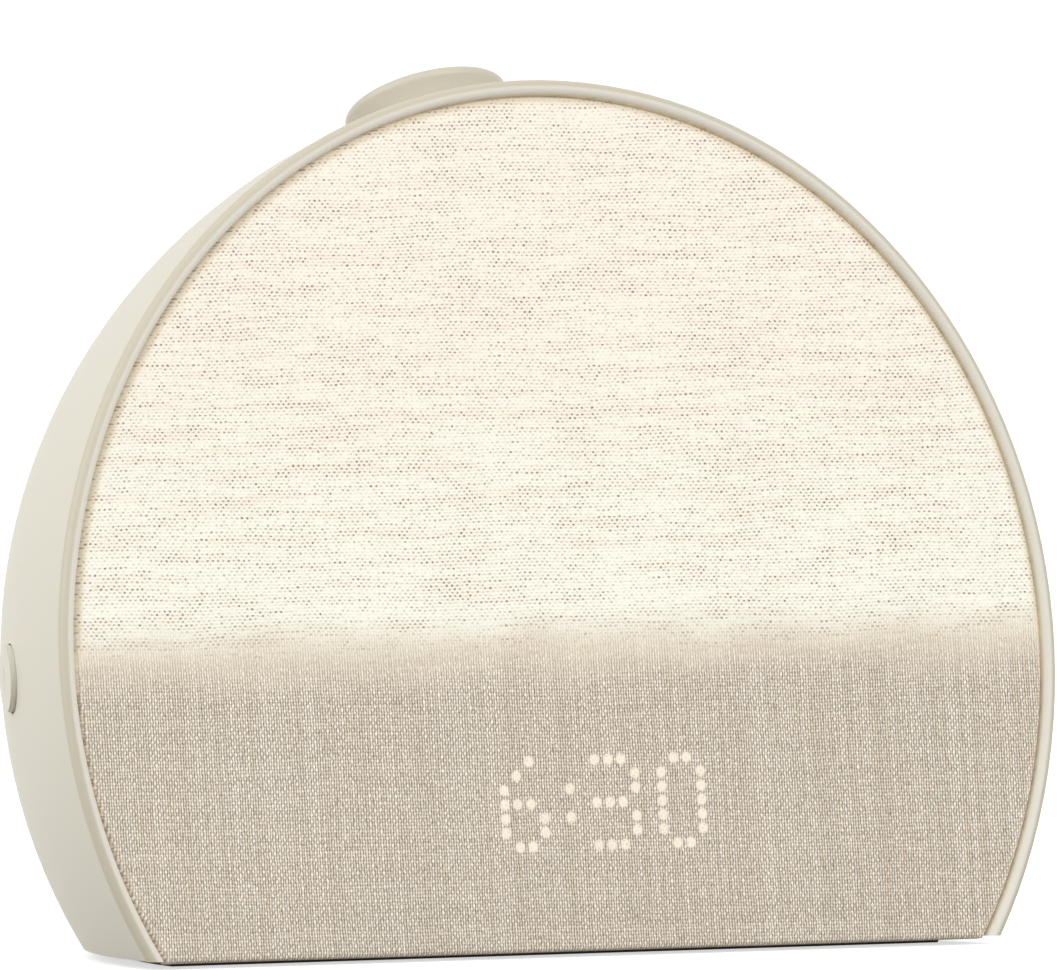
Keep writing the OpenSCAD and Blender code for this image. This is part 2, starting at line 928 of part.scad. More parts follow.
module rear_cover()
  color(ivory)
    difference() {
      union() {
        difference() {
          bowl(0, 50);
          bowl(cover_t, 40);
        }
        intersection() {
          bowl(0.5, 50);
          face_frame() {
            translate([0, 0, speaker_z])
              ring(seat_r, seat_in, seat_d, big);
            for (side = [-1, 1])
              backward(side * jack_post_x, jack_back, -jack_drop)
                cylinder(r = jack_post_r, h = 30);
          }
        }
      }
      face_frame() {
        difference() {
          disc(big, 30, big);
          disc(cover_r, 20, big + 1);
        }
        for (i = [-slot_rows : slot_rows])
          translate([0, 0, speaker_z + i * slot_pitch])
            slot(2 * sqrt(pow(grille_r, 2) - pow(i * slot_pitch, 2)) - slot_w);
        backward(0, 60, -jack_drop)
          cylinder(r = plug_r, h = 60);
        around_axis(cover_screw_angles, cover_screw_r)
          translate([0, crown_d(cover_screw_r, cover_t / 2), 0])
            rotate([-90, 0, 0]) {
              pass_hole(case_screw_d, 6);
              cylinder(r = case_screw_d * head_ratio / 2 + hole_gap, h = 10, $fn = 32);
            }
        speaker_screw_places()
          forward(0, seat_d, 0)
            screw_hole(small_screw_d, 2.6);
        for (side = [-1, 1])
          forward(side * jack_post_x, jack_back, -jack_drop)
            screw_hole(small_screw_d, 6);
      }
    }

module grille_cloth()
  color(dark)
    face_frame()
      translate([0, 0, speaker_z])
        difference() {
          disc(speaker_r, seat_d - grille_cloth_t, seat_d);
          around_axis([45, 135, 225, 315], speaker_screw_r)
            backward(0, seat_d, 0)
              pass_hole(small_screw_d, 2);
        }

module speaker_gasket()
  color(dark)
    face_frame()
      translate([0, 0, speaker_z])
        difference() {
          ring(speaker_r, seat_in, flange_face, flange_face + gasket_t);
          around_axis([45, 135, 225, 315], speaker_screw_r)
            backward(0, seat_d, 0)
              pass_hole(small_screw_d, 4);
        }

module speaker_frame()
  color(dark)
    face_frame()
      translate([0, 0, speaker_z])
        difference() {
          turned()
            polygon([[seat_in, flange_face], [speaker_r, flange_face], [speaker_r, flange_back],
                     [seat_in + basket_wall, flange_back], [basket_r + basket_wall, flange_back - basket_l],
                     [basket_r - 4, flange_back - basket_l], [basket_r - 4, flange_back - basket_l + 1.2],
                     [basket_r, flange_back - basket_l + 1.2], [seat_in, flange_back]]);
          around_axis([45, 135, 225, 315], speaker_screw_r)
            backward(0, seat_d, 0)
              pass_hole(small_screw_d, 6);
        }

module speaker_magnet()
  color(steel)
    face_frame()
      translate([0, 0, speaker_z])
        disc(magnet_r, flange_back - basket_l - magnet_l, flange_back - basket_l);

module speaker_cone()
  color([0.22, 0.22, 0.22])
    face_frame()
      translate([0, 0, speaker_z])
        turned()
          polygon([[seat_in - 0.2, flange_face], [seat_in - 0.2, flange_face - cone_t],
                   [seat_in - 2, flange_face - cone_t], [dust_r, flange_back - basket_l / 2],
                   [0, flange_back - basket_l / 2 + 2.4],
                   [0, flange_back - basket_l / 2 + 2.4 + cone_t],
                   [dust_r, flange_back - basket_l / 2 + 1.2], [seat_in - 2.2, flange_face]]);

module power_jack()
  color(dark)
    face_frame()
      translate([0, 0, -jack_drop])
        difference() {
          translate([-jack_size[0] / 2, jack_back, -jack_size[2] / 2])
            cube(jack_size);
          disc(jack_bore_r, jack_back + 2, big);
          disc(jack_pin_r + screw_gap, jack_back - 1, big);
        }

module jack_pin()
  color(steel)
    face_frame()
      translate([0, 0, -jack_drop])
        disc(jack_pin_r, jack_back, jack_face - jack_pin_recess);

module jack_board()
  color(board_green)
    face_frame()
      translate([0, 0, -jack_drop])
        difference() {
          translate([-jack_board_w / 2, jack_back - board_t, -jack_size[2] / 2])
            cube([jack_board_w, board_t, jack_size[2]]);
          for (side = [-1, 1])
            forward(side * jack_post_x, jack_back, 0)
              pass_hole(small_screw_d, board_t + 1);
        }

// Top button

module top_profile()
  difference() {
    union() {
      difference() {
        polygon([[0, -top_skirt], [top_foot_r, -top_skirt], top_foot, flank_t, lip_c,
                 [lip_c[0], top_h], [0, top_h]]);
        translate(flank_c)
          circle(r = flank_r, $fn = 180);
      }
      translate(lip_c)
        circle(r = lip_round, $fn = 64);
    }
    translate([0, top_h - dish_depth + dish_sphere])
      circle(r = dish_sphere, $fn = 180);
    translate([stem_r, -top_skirt - 1])
      square([pocket_r - stem_r, pocket_top + top_skirt + 1]);
    translate([-big, -big])
      square([big, 2 * big]);
  }

module stem_profile()
  difference() {
    translate([0, -stem_end])
      square([stem_r, stem_end + 1]);
    translate([stem_r - groove_depth, -clip_z - clip_t])
      square([2, clip_t]);
  }

module top_button()
  color(ivory)
    top_frame()
      rotate_extrude($fn = 180) {
        top_profile();
        stem_profile();
      }

module top_button_clip()
  color(steel)
    top_frame()
      translate([0, 0, -clip_z - clip_t])
        difference() {
          cylinder(r = clip_r, h = clip_t);
          translate([0, 0, -1])
            cylinder(r = stem_r - groove_depth + screw_gap, h = clip_t + 2);
          translate([0, -(stem_r - groove_depth) * 0.8, -1])
            cube([clip_r + 1, (stem_r - groove_depth) * 1.6, clip_t + 2]);
        }

module leg_places()
  for (side = [-1, 1])
    translate([side * leg_x, 0, 0])
      children();

module top_button_guide()
  color(white)
    top_frame()
      difference() {
        union() {
          translate([0, 0, -top_seat - guide_t])
            cylinder(r = top_boss_r - 0.5, h = guide_t);
          translate([0, 0, -bush_end])
            cylinder(r = bush_r, h = bush_l + guide_t);
          leg_places()
            translate([-leg[0] / 2, -leg[1] / 2, -top_board_z])
              cube([leg[0], leg[1], top_board_z - top_seat - 1]);
        }
        translate([0, 0, -big / 2])
          cylinder(r = stem_r + stem_gap, h = big);
        around(guide_screw_angles, guide_screw_r)
          translate([0, 0, -top_seat])
            pass_hole(small_screw_d, guide_t + 1);
        leg_places()
          translate([0, 0, -top_board_z])
            rotate([180, 0, 0])
              screw_hole(small_screw_d, 5);
      }

// Return spring: one unbroken round wire wound up the stem
spring_sides = 6;
spring_steps = 8;
spring_low = -top_seat + spring_wire_r + 0.05;
spring_high = pocket_top - spring_wire_r - 0.05;
function spring_at(t) = [
  spring_r * cos(360 * spring_turns * t),
  spring_r * sin(360 * spring_turns * t),
  spring_low + (spring_high - spring_low) * t
];
function spring_ring(i, count) = let (
  t = i / count,
  out = [cos(360 * spring_turns * t), sin(360 * spring_turns * t), 0]
) [
  for (k = [0 : spring_sides - 1])
    spring_at(t) + spring_wire_r * (cos(360 * k / spring_sides) * out + [0, 0, sin(360 * k / spring_sides)])
];

module top_button_spring() {
  count = spring_turns * spring_steps;
  points = [for (i = [0 : count]) each spring_ring(i, count)];
  sides = [
    for (i = [0 : count - 1], k = [0 : spring_sides - 1]) let (
      a = i * spring_sides + k,
      b = i * spring_sides + (k + 1) % spring_sides
    ) each [[a, b, b + spring_sides], [a, b + spring_sides, a + spring_sides]]
  ];
  first = [for (k = [1 : spring_sides - 2]) [0, k + 1, k]];
  end = count * spring_sides;
  last = [for (k = [1 : spring_sides - 2]) [end, end + k, end + k + 1]];
  color(steel)
    top_frame()
      polyhedron(points, concat(sides, first, last));
}

module top_switch()
  color(dark)
    top_frame()
      switch_body(top_switch_face);

module top_switch_plunger()
  color(white)
    top_frame()
      switch_plunger(stem_end, top_switch_face);

module top_switch_board()
  color(board_green)
    top_frame()
      difference() {
        translate([-top_board_w / 2, -top_board_l / 2, -top_board_z - board_t])
          cube([top_board_w, top_board_l, board_t]);
        leg_places()
          translate([0, 0, -top_board_z])
            pass_hole(small_screw_d, board_t + 1);
      }

// Side buttons

module side_button(turn)
  color(ivory) {
    intersection() {
      side_frame(turn)
        translate([0, 0, -side_flange_z - side_flange_t])
          cylinder(r = side_button_r, h = 20);
      bowl(-side_proud, 0);
    }
    side_frame(turn) {
      translate([0, 0, -side_flange_z - side_flange_t])
        cylinder(r = side_flange_r, h = side_flange_t);
      translate([0, 0, -side_post_end])
        cylinder(r = side_post_r, h = side_post_end - side_flange_z);
    }
  }

module side_switch(turn)
  color(dark)
    side_frame(turn)
      switch_body(side_switch_face);

module side_plunger(turn)
  color(white)
    side_frame(turn)
      switch_plunger(side_post_end, side_switch_face);

module side_board(turn)
  color(board_green)
    side_frame(turn)
      difference() {
        translate([-side_board_w / 2, -side_board_l / 2, -side_board_z - board_t])
          cube([side_board_w, side_board_l, board_t]);
        for (side = [-1, 1])
          translate([side * side_boss_x, 0, -side_board_z])
            pass_hole(small_screw_d, board_t + 1);
      }

// Screws

module rear_screws()
  color(steel)
    face_frame()
      around_axis(cover_screw_angles, cover_screw_r)
        translate([0, crown_d(cover_screw_r, cover_t / 2), 0])
          rotate([-90, 0, 0])
            screw(case_screw_d, cover_boss_l);

module base_screws()
  color(steel)
    base_screw_places()
      translate([0, 0, foot_gap + base_t / 2])
        rotate([180, 0, 0])
          flat_screw(case_screw_d, base_boss_h - 1, base_t / 2);

// Low-head screw that stays inside its counterbore
module flat_screw(d, l, head_h) {
  translate([0, 0, -l])
    cylinder(r = d / 2, h = l + eps, $fn = 24);
  cylinder(r = d * head_ratio / 2, h = head_h - 0.05, $fn = 32);
}

module light_box_screws()
  color(steel)
    face_frame()
      for (x = box_ears)
        backward(x, ear_d + ear_t, ear_z)
          screw(small_screw_d, ear_t + ear_screw_bite);

module sunrise_board_screws()
  color(steel)
    face_frame()
      for (a = box_screw_angles)
        rotate([0, a, 0])
          backward(0, box_back + board_t, box_screw_r)
            screw(small_screw_d, board_t + box_boss_l - 1.5);

module display_screws()
  color(steel)
    face_frame()
      display_places()
        backward(0, mask_back + board_t, 0)
          screw(small_screw_d, board_t + mask_depth - 2);

module main_board_screws()
  color(steel)
    main_places()
      translate([0, 0, main_z + board_t])
        screw(small_screw_d, board_t + main_lift - 1);

module speaker_screws()
  color(steel)
    face_frame()
      speaker_screw_places()
        forward(0, flange_back, 0)
          screw(small_screw_d, seat_d - flange_back + 2);

module jack_screws()
  color(steel)
    face_frame()
      for (side = [-1, 1])
        forward(side * jack_post_x, jack_back - board_t, -jack_drop)
          screw(small_screw_d, board_t + jack_screw_bite);

module top_guide_screws()
  color(steel)
    top_frame()
      around(guide_screw_angles, guide_screw_r)
        translate([0, 0, -top_seat - guide_t])
          rotate([180, 0, 0])
            screw(small_screw_d, guide_t + guide_screw_bite);

module top_board_screws()
  color(steel)
    top_frame()
      leg_places()
        translate([0, 0, -top_board_z - board_t])
          rotate([180, 0, 0])
            screw(small_screw_d, board_t + leg_screw_bite);

module side_board_screws()
  color(steel)
    for (turn = [-90, 90], side = [-1, 1])
      side_frame(turn)
        translate([side * side_boss_x, 0, -side_board_z - board_t])
          rotate([180, 0, 0])
            screw(small_screw_d, board_t + 5);

body_shell();
front_bezel();
fabric_cover();
front_panel();
light_box();
sunrise_board();
sunrise_leds();
display_mask();
display_board();
display_leds();
main_board();
board_parts();
rear_cover();
grille_cloth();
speaker_gasket();
speaker_frame();
speaker_magnet();
speaker_cone();
power_jack();
jack_pin();
jack_board();
base_plate();
foot_pad();
top_button();
top_button_guide();
top_button_spring();
top_button_clip();
top_switch();
top_switch_plunger();
top_switch_board();
side_button(-90);  // left_button
side_switch(-90);  // left_switch
side_plunger(-90);  // left_switch_plunger
side_board(-90);  // left_switch_board
side_button(90);  // right_button
side_switch(90);  // right_switch
side_plunger(90);  // right_switch_plunger
side_board(90);  // right_switch_board
rear_screws();
base_screws();
light_box_screws();
sunrise_board_screws();
display_screws();
main_board_screws();
speaker_screws();
jack_screws();
top_guide_screws();
top_board_screws();
side_board_screws();
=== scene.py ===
import bpy, bmesh, json, math, random
from mathutils import Matrix, Vector


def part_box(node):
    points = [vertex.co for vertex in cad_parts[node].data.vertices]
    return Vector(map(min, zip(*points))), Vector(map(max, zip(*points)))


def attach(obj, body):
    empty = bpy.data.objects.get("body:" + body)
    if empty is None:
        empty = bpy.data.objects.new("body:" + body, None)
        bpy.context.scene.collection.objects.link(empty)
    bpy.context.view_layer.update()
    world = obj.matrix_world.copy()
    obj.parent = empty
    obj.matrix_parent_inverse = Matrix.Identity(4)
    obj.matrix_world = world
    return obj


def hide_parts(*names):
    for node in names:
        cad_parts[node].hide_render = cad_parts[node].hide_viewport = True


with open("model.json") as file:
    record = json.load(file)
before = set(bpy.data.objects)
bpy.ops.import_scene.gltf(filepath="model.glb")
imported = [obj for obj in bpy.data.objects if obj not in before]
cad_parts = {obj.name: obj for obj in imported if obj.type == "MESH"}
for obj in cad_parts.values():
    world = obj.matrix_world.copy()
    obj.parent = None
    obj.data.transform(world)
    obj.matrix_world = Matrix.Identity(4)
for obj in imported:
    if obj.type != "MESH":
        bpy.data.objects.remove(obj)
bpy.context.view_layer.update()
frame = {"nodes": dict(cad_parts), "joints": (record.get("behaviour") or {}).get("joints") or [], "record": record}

nodes = frame["nodes"]
mm = 0.001

# where the leaning face sits: x to the right, y into the housing, z up along the face
face = {"lean": 6.2, "centreHeight": 55.0, "radius": 101.8, "clothDrop": 0.35, "footGap": 1.4}
leanAngle = math.radians(face["lean"])
clothLow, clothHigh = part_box("fabric_cover")
faceBottom = (face["footGap"] - face["clothDrop"] - face["centreHeight"]) / math.cos(leanAngle)
faceY = clothLow.y / mm - faceBottom * math.sin(leanAngle)
faceToTable = Matrix.Translation((0, faceY * mm, face["centreHeight"] * mm)) @ Matrix.Rotation(-leanAngle, 4, "X")
print("face plane at y =", round(faceY, 3), "mm")


def addNode(tree, kind, **settings):
    node = tree.nodes.new(kind)
    for key, value in settings.items():
        setattr(node, key, value)
    return node


def feed(tree, socket, value):
    if isinstance(value, bpy.types.NodeSocket):
        tree.links.new(value, socket)
    else:
        socket.default_value = value


def calc(tree, operation, *values, clamp=False):
    node = addNode(tree, "ShaderNodeMath", operation=operation, use_clamp=clamp)
    for socket, value in zip(node.inputs, values):
        feed(tree, socket, value)
    return node.outputs[0]


def times(tree, first, second):
    return calc(tree, "MULTIPLY", first, second)


def plus(tree, *values, clamp=False):
    return calc(tree, "ADD", *values, clamp=clamp)


def minus(tree, *values, clamp=False):
    return calc(tree, "SUBTRACT", *values, clamp=clamp)


def ratio(tree, value, divisor):
    return calc(tree, "DIVIDE", value, divisor)


def larger(tree, first, second):
    return calc(tree, "MAXIMUM", first, second)


def absolute(tree, value):
    return calc(tree, "ABSOLUTE", value)


def squared(tree, value):
    return calc(tree, "POWER", value, 2.0)


def distanceFrom(tree, first, second):
    return calc(tree, "SQRT", plus(tree, squared(tree, first), squared(tree, second)))


def remap(tree, value, low, high, outLow=0.0, outHigh=1.0, smooth=True):
    node = addNode(tree, "ShaderNodeMapRange", interpolation_type="SMOOTHSTEP" if smooth else "LINEAR")
    feed(tree, node.inputs["Value"], value)
    for name, number in (("From Min", low), ("From Max", high), ("To Min", outLow), ("To Max", outHigh)):
        feed(tree, node.inputs[name], number)
    return node.outputs["Result"]


def blendColour(tree, factor, first, second, mode="MIX"):
    node = addNode(tree, "ShaderNodeMix", data_type="RGBA", blend_type=mode, clamp_factor=True)
    feed(tree, node.inputs["Factor"], factor)
    feed(tree, node.inputs["A"], first)
    feed(tree, node.inputs["B"], second)
    return node.outputs["Result"]


def tinted(tree, colour, tint):
    return blendColour(tree, 1.0, colour, tint, "MULTIPLY")


def fromBlack(tree, amount, colour):
    return blendColour(tree, amount, (0, 0, 0, 1), colour)


def noiseOf(tree, vector, scale, detail=2.0, rough=0.5, out="Fac"):
    node = addNode(tree, "ShaderNodeTexNoise", noise_dimensions="3D")
    feed(tree, node.inputs["Vector"], vector)
    node.inputs["Scale"].default_value = scale
    node.inputs["Detail"].default_value = detail
    node.inputs["Roughness"].default_value = rough
    return node.outputs[out]


def scaled(tree, vector, factor):
    node = addNode(tree, "ShaderNodeVectorMath", operation="SCALE")
    feed(tree, node.inputs[0], vector)
    feed(tree, node.inputs["Scale"], factor)
    return node.outputs[0]


def joinXyz(tree, x, y, z=0.0):
    node = addNode(tree, "ShaderNodeCombineXYZ")
    for socket, value in zip(node.inputs, (x, y, z)):
        feed(tree, socket, value)
    return node.outputs[0]


def linearOf(red, green, blue):  # from screen values 0-255
    def one(c):
        c /= 255
        return c / 12.92 if c <= 0.04045 else ((c + 0.055) / 1.055) ** 2.4
    return (one(red), one(green), one(blue), 1.0)


def socketIn(group, name, kind="NodeSocketFloat", default=None):
    socket = group.interface.new_socket(name=name, in_out="INPUT", socket_type=kind)
    if default is not None:
        socket.default_value = default


def socketOut(group, name, kind="NodeSocketFloat"):
    group.interface.new_socket(name=name, in_out="OUTPUT", socket_type=kind)


weaveOutputs = ("Warp Over", "Crossing Dot", "Weft Line", "Warp Line", "Height", "Warp Tone",
                "Weft Tone", "Weft Streak", "Row Band", "Cell Random", "Fibre", "Warp Pair")
yarn = {
    "driftAcross": 3.0, "driftAlong": 2.0,    # slow wander of the threads, mm for each unit of waviness
    "skewWeft": 0.0096, "skewWarp": 0.0085,   # the weave doesn't sit quite square on the face
    "shakeWarp": 1.7, "shakeWeft": 1.5,       # jitter inside one mesh
    "warpWide": (0.80, 1.28), "weftWide": (0.85, 1.2),
    "warpWave": 0.42, "weftWave": 0.5,        # how much of the height is the up and down of the thread
    "step": 0.14,                             # softness of the line where one thread covers the other
    "spotWide": 1.35, "spotHigh": 0.88,
}


def buildPlainWeave():
    group = bpy.data.node_groups.new("plainWeave", "ShaderNodeTree")
    socketIn(group, "Position", "NodeSocketVector")
    socketIn(group, "Warp Pitch", default=0.54)
    socketIn(group, "Weft Pitch", default=0.63)
    socketIn(group, "Waviness", default=0.5)
    socketIn(group, "Warp Proud", default=0.15)
    for name in weaveOutputs:
        socketOut(group, name)
    tree = group
    start = addNode(tree, "NodeGroupInput")
    end = addNode(tree, "NodeGroupOutput")
    split = addNode(tree, "ShaderNodeSeparateXYZ")
    tree.links.new(start.outputs["Position"], split.inputs[0])
    x, z = split.outputs[0], split.outputs[2]
    flat = joinXyz(tree, x, z)
    # slow drift of the threads, in millimetres
    drift = minus(tree, noiseOf(tree, flat, 0.03, 1.0), 0.5)
    driftAcross = minus(tree, noiseOf(tree, joinXyz(tree, z, x, 31.0), 0.035, 1.0), 0.5)
    weftCoord = plus(tree, plus(tree, z, times(tree, x, yarn["skewWeft"])),
                     times(tree, drift, times(tree, start.outputs["Waviness"], yarn["driftAcross"])))
    warpCoord = plus(tree, plus(tree, x, times(tree, z, yarn["skewWarp"])),
                     times(tree, driftAcross, times(tree, start.outputs["Waviness"], yarn["driftAlong"])))
    u = ratio(tree, warpCoord, start.outputs["Warp Pitch"])
    v = ratio(tree, weftCoord, start.outputs["Weft Pitch"])
    # fine jitter so that no two meshes of the cloth are alike
    shakeU = minus(tree, noiseOf(tree, joinXyz(tree, u, v, 3.0), 0.75, 2.0), 0.5)
    shakeV = minus(tree, noiseOf(tree, joinXyz(tree, v, u, 9.0), 0.7, 2.0), 0.5)
    u = plus(tree, u, times(tree, shakeU, times(tree, start.outputs["Waviness"], yarn["shakeWarp"])))
    v = plus(tree, v, times(tree, shakeV, times(tree, start.outputs["Waviness"], yarn["shakeWeft"])))
    iu, iv = calc(tree, "FLOOR", u), calc(tree, "FLOOR", v)
    fu, fv = minus(tree, u, iu), minus(tree, v, iv)
    parity = calc(tree, "FLOORED_MODULO", plus(tree, iu, iv), 2.0)
    sign = minus(tree, 1.0, times(tree, parity, 2.0))  # +1 where the warp is on top
    cell = addNode(tree, "ShaderNodeTexWhiteNoise", noise_dimensions="2D")
    tree.links.new(joinXyz(tree, iu, iv), cell.inputs["Vector"])
    warpTone = addNode(tree, "ShaderNodeTexWhiteNoise", noise_dimensions="1D")
    tree.links.new(iu, warpTone.inputs["W"])
    weftTone = addNode(tree, "ShaderNodeTexWhiteNoise", noise_dimensions="1D")
    tree.links.new(plus(tree, iv, 517.0), weftTone.inputs["W"])
    # each thread swells and thins along its own run
    warpRun = noiseOf(tree, joinXyz(tree, times(tree, z, 0.42), times(tree, iu, 7.31)), 1.0, 2.0)
    weftRun = noiseOf(tree, joinXyz(tree, times(tree, x, 0.13), times(tree, iv, 5.17), 40.0), 1.0, 2.0)
    band = noiseOf(tree, joinXyz(tree, times(tree, x, 0.035), times(tree, z, 0.42), 80.0), 1.0, 2.0)
    warpWide = remap(tree, warpRun, 0.3, 0.7, *yarn["warpWide"])
    weftWide = remap(tree, weftRun, 0.3, 0.7, *yarn["weftWide"])
    across = minus(tree, times(tree, fu, 2.0), 1.0)
    along = minus(tree, times(tree, fv, 2.0), 1.0)
    warpRound = minus(tree, 1.0, squared(tree, absolute(tree, ratio(tree, across, warpWide))))
    weftRound = minus(tree, 1.0, squared(tree, absolute(tree, ratio(tree, along, weftWide))))
    warpWave = times(tree, sign, calc(tree, "SINE", times(tree, fv, math.pi)))
    weftWave = times(tree, sign, times(tree, calc(tree, "SINE", times(tree, fu, math.pi)), -1.0))
    warpHeight = plus(tree, times(tree, warpWave, yarn["warpWave"]), times(tree, warpRound, 1 - yarn["warpWave"]))
    warpHeight = plus(tree, warpHeight, start.outputs["Warp Proud"])
    weftHeight = plus(tree, times(tree, weftWave, yarn["weftWave"]), times(tree, weftRound, 1 - yarn["weftWave"]))
    over = remap(tree, minus(tree, warpHeight, weftHeight), -yarn["step"], yarn["step"])
    height = larger(tree, warpHeight, weftHeight)
    fibre = noiseOf(tree, joinXyz(tree, times(tree, x, 2.3), times(tree, z, 1.15), 20.0), 1.0, 3.0, 0.6)
    # every other warp thread is a little paler, here more and there less
    everyOther = minus(tree, times(tree, calc(tree, "FLOORED_MODULO", iu, 2.0), 2.0), 1.0)
    pair = times(tree, everyOther, remap(tree, driftAcross, -0.12, 0.12, -0.4, 1.4, smooth=False))
    # flat oval in the middle of every crossing where the warp is on top, and a hairline along the weft
    spot = distanceFrom(tree, ratio(tree, across, yarn["spotWide"]), ratio(tree, along, yarn["spotHigh"]))
    dot = times(tree, remap(tree, spot, 1.0, 0.3), minus(tree, 1.0, parity))
    hairline = remap(tree, absolute(tree, along), 0.75, 0.0)
    warpLine = remap(tree, absolute(tree, across), 0.9, 0.1)
    warpShade = plus(tree, times(tree, warpTone.outputs["Value"], 0.4), times(tree, warpRun, 0.6))
    weftShade = plus(tree, times(tree, weftTone.outputs["Value"], 0.25), times(tree, weftRun, 0.75))
    values = (over, dot, hairline, warpLine, height, warpShade,
              weftShade, weftRun, band, cell.outputs["Value"], fibre, pair)
    for name, value in zip(weaveOutputs, values):
        tree.links.new(value, end.inputs[name])
    return group


def buildMouldGrain():
    group = bpy.data.node_groups.new("mouldGrain", "ShaderNodeTree")
    socketIn(group, "Position", "NodeSocketVector")
    socketIn(group, "Grain Size", default=0.25)
    socketIn(group, "Mottle Size", default=30.0)
    socketIn(group, "Colour", "NodeSocketColor", (0.8, 0.8, 0.8, 1))
    socketIn(group, "Mottle", default=0.04)
    socketIn(group, "Roughness", default=0.5)
    socketOut(group, "Colour", "NodeSocketColor")
    socketOut(group, "Roughness")
    socketOut(group, "Height")
    tree = group
    start = addNode(tree, "NodeGroupInput")
    end = addNode(tree, "NodeGroupOutput")
    fine = scaled(tree, start.outputs["Position"], ratio(tree, 1.0, start.outputs["Grain Size"]))
    grain = noiseOf(tree, fine, 1.0, 3.0, 0.6)
    broad = scaled(tree, start.outputs["Position"], ratio(tree, 1.0, start.outputs["Mottle Size"]))
    mottle = noiseOf(tree, broad, 1.0, 3.0, 0.55)
    shade = plus(tree, times(tree, minus(tree, mottle, 0.5), start.outputs["Mottle"]),
                 times(tree, minus(tree, grain, 0.5), times(tree, start.outputs["Mottle"], 0.6)))
    tint = addNode(tree, "ShaderNodeHueSaturation")
    tree.links.new(start.outputs["Colour"], tint.inputs["Color"])
    tree.links.new(plus(tree, 1.0, times(tree, shade, 2.0)), tint.inputs["Value"])
    tree.links.new(tint.outputs[0], end.inputs["Colour"])
    uneven = times(tree, minus(tree, mottle, 0.5), 0.12)
    tree.links.new(plus(tree, start.outputs["Roughness"], uneven), end.inputs["Roughness"])
    tree.links.new(grain, end.inputs["Height"])
    return group


plainWeave = buildPlainWeave()
mouldGrain = buildMouldGrain()
print("shared shader groups built")


def newMaterial(name):
    material = bpy.data.materials.new(name)
    material.use_nodes = True
    tree = material.node_tree
    return material, tree, tree.nodes["Principled BSDF"]


def positionMm(tree):  # object coordinates in millimetres
    coords = addNode(tree, "ShaderNodeTexCoord")
    return scaled(tree, coords.outputs["Object"], 1 / mm)


def facePositionMm(tree):  # the same, measured from the face's centre along the leaning face
    coords = addNode(tree, "ShaderNodeTexCoord")
    place = addNode(tree, "ShaderNodeMapping", vector_type="TEXTURE")
    place.inputs["Location"].default_value = (0, faceY * mm, face["centreHeight"] * mm)
    place.inputs["Rotation"].default_value = (-leanAngle, 0, 0)
    tree.links.new(coords.outputs["Object"], place.inputs["Vector"])
    return scaled(tree, place.outputs[0], 1 / mm)


def addBump(tree, bsdf, height, depthMm, strength=1.0):
    node = addNode(tree, "ShaderNodeBump")
    node.inputs["Strength"].default_value = strength
    node.inputs["Distance"].default_value = depthMm * mm
    tree.links.new(height, node.inputs["Height"])
    tree.links.new(node.outputs[0], bsdf.inputs["Normal"])


def addWeave(tree, position, warpPitch, weftPitch, waviness, warpProud):
    node = addNode(tree, "ShaderNodeGroup")
    node.node_tree = plainWeave
    tree.links.new(position, node.inputs["Position"])
    for name, number in (("Warp Pitch", warpPitch), ("Weft Pitch", weftPitch),
                         ("Waviness", waviness), ("Warp Proud", warpProud)):
        node.inputs[name].default_value = number
    return node.outputs


def mouldedPlastic(name, colour, roughness, grain=0.25, mottle=0.03, bump=0.02):
    material, tree, bsdf = newMaterial(name)
    grainNode = addNode(tree, "ShaderNodeGroup")
    grainNode.node_tree = mouldGrain
    tree.links.new(positionMm(tree), grainNode.inputs["Position"])
    grainNode.inputs["Grain Size"].default_value = grain
    grainNode.inputs["Mottle"].default_value = mottle
    grainNode.inputs["Colour"].default_value = colour
    grainNode.inputs["Roughness"].default_value = roughness
    tree.links.new(grainNode.outputs["Colour"], bsdf.inputs["Base Color"])
    tree.links.new(grainNode.outputs["Roughness"], bsdf.inputs["Roughness"])
    addBump(tree, bsdf, grainNode.outputs["Height"], bump, 0.5)
    return material


def metalFinish(name, colour, roughness, brush):
    material, tree, bsdf = newMaterial(name)
    position = positionMm(tree)
    stretch = addNode(tree, "ShaderNodeMapping")
    stretch.inputs["Scale"].default_value = brush
    tree.links.new(position, stretch.inputs["Vector"])
    lines = noiseOf(tree, stretch.outputs[0], 1.0, 4.0, 0.65)
    dark = tuple(c * 0.78 for c in colour[:3]) + (1,)
    tree.links.new(blendColour(tree, lines, dark, colour), bsdf.inputs["Base Color"])
    tree.links.new(remap(tree, lines, 0.2, 0.8, roughness * 0.8, roughness * 1.3), bsdf.inputs["Roughness"])
    bsdf.inputs["Metallic"].default_value = 1.0
    addBump(tree, bsdf, lines, 0.02, 0.25)
    return material


def circuitBoard():
    material, tree, bsdf = newMaterial("solderMask")
    position = positionMm(tree)
    cells = addNode(tree, "ShaderNodeTexBrick")
    tree.links.new(position, cells.inputs["Vector"])
    cells.inputs["Scale"].default_value = 0.35
    cells.inputs["Mortar Size"].default_value = 0.06
    cells.inputs["Color1"].default_value = (0.010, 0.085, 0.040, 1)
    cells.inputs["Color2"].default_value = (0.014, 0.100, 0.048, 1)
    cells.inputs["Mortar"].default_value = (0.030, 0.170, 0.080, 1)
    tree.links.new(cells.outputs["Color"], bsdf.inputs["Base Color"])
    tree.links.new(remap(tree, noiseOf(tree, position, 0.8), 0.3, 0.7, 0.22, 0.36), bsdf.inputs["Roughness"])
    addBump(tree, bsdf, cells.outputs["Fac"], 0.03)
    return material


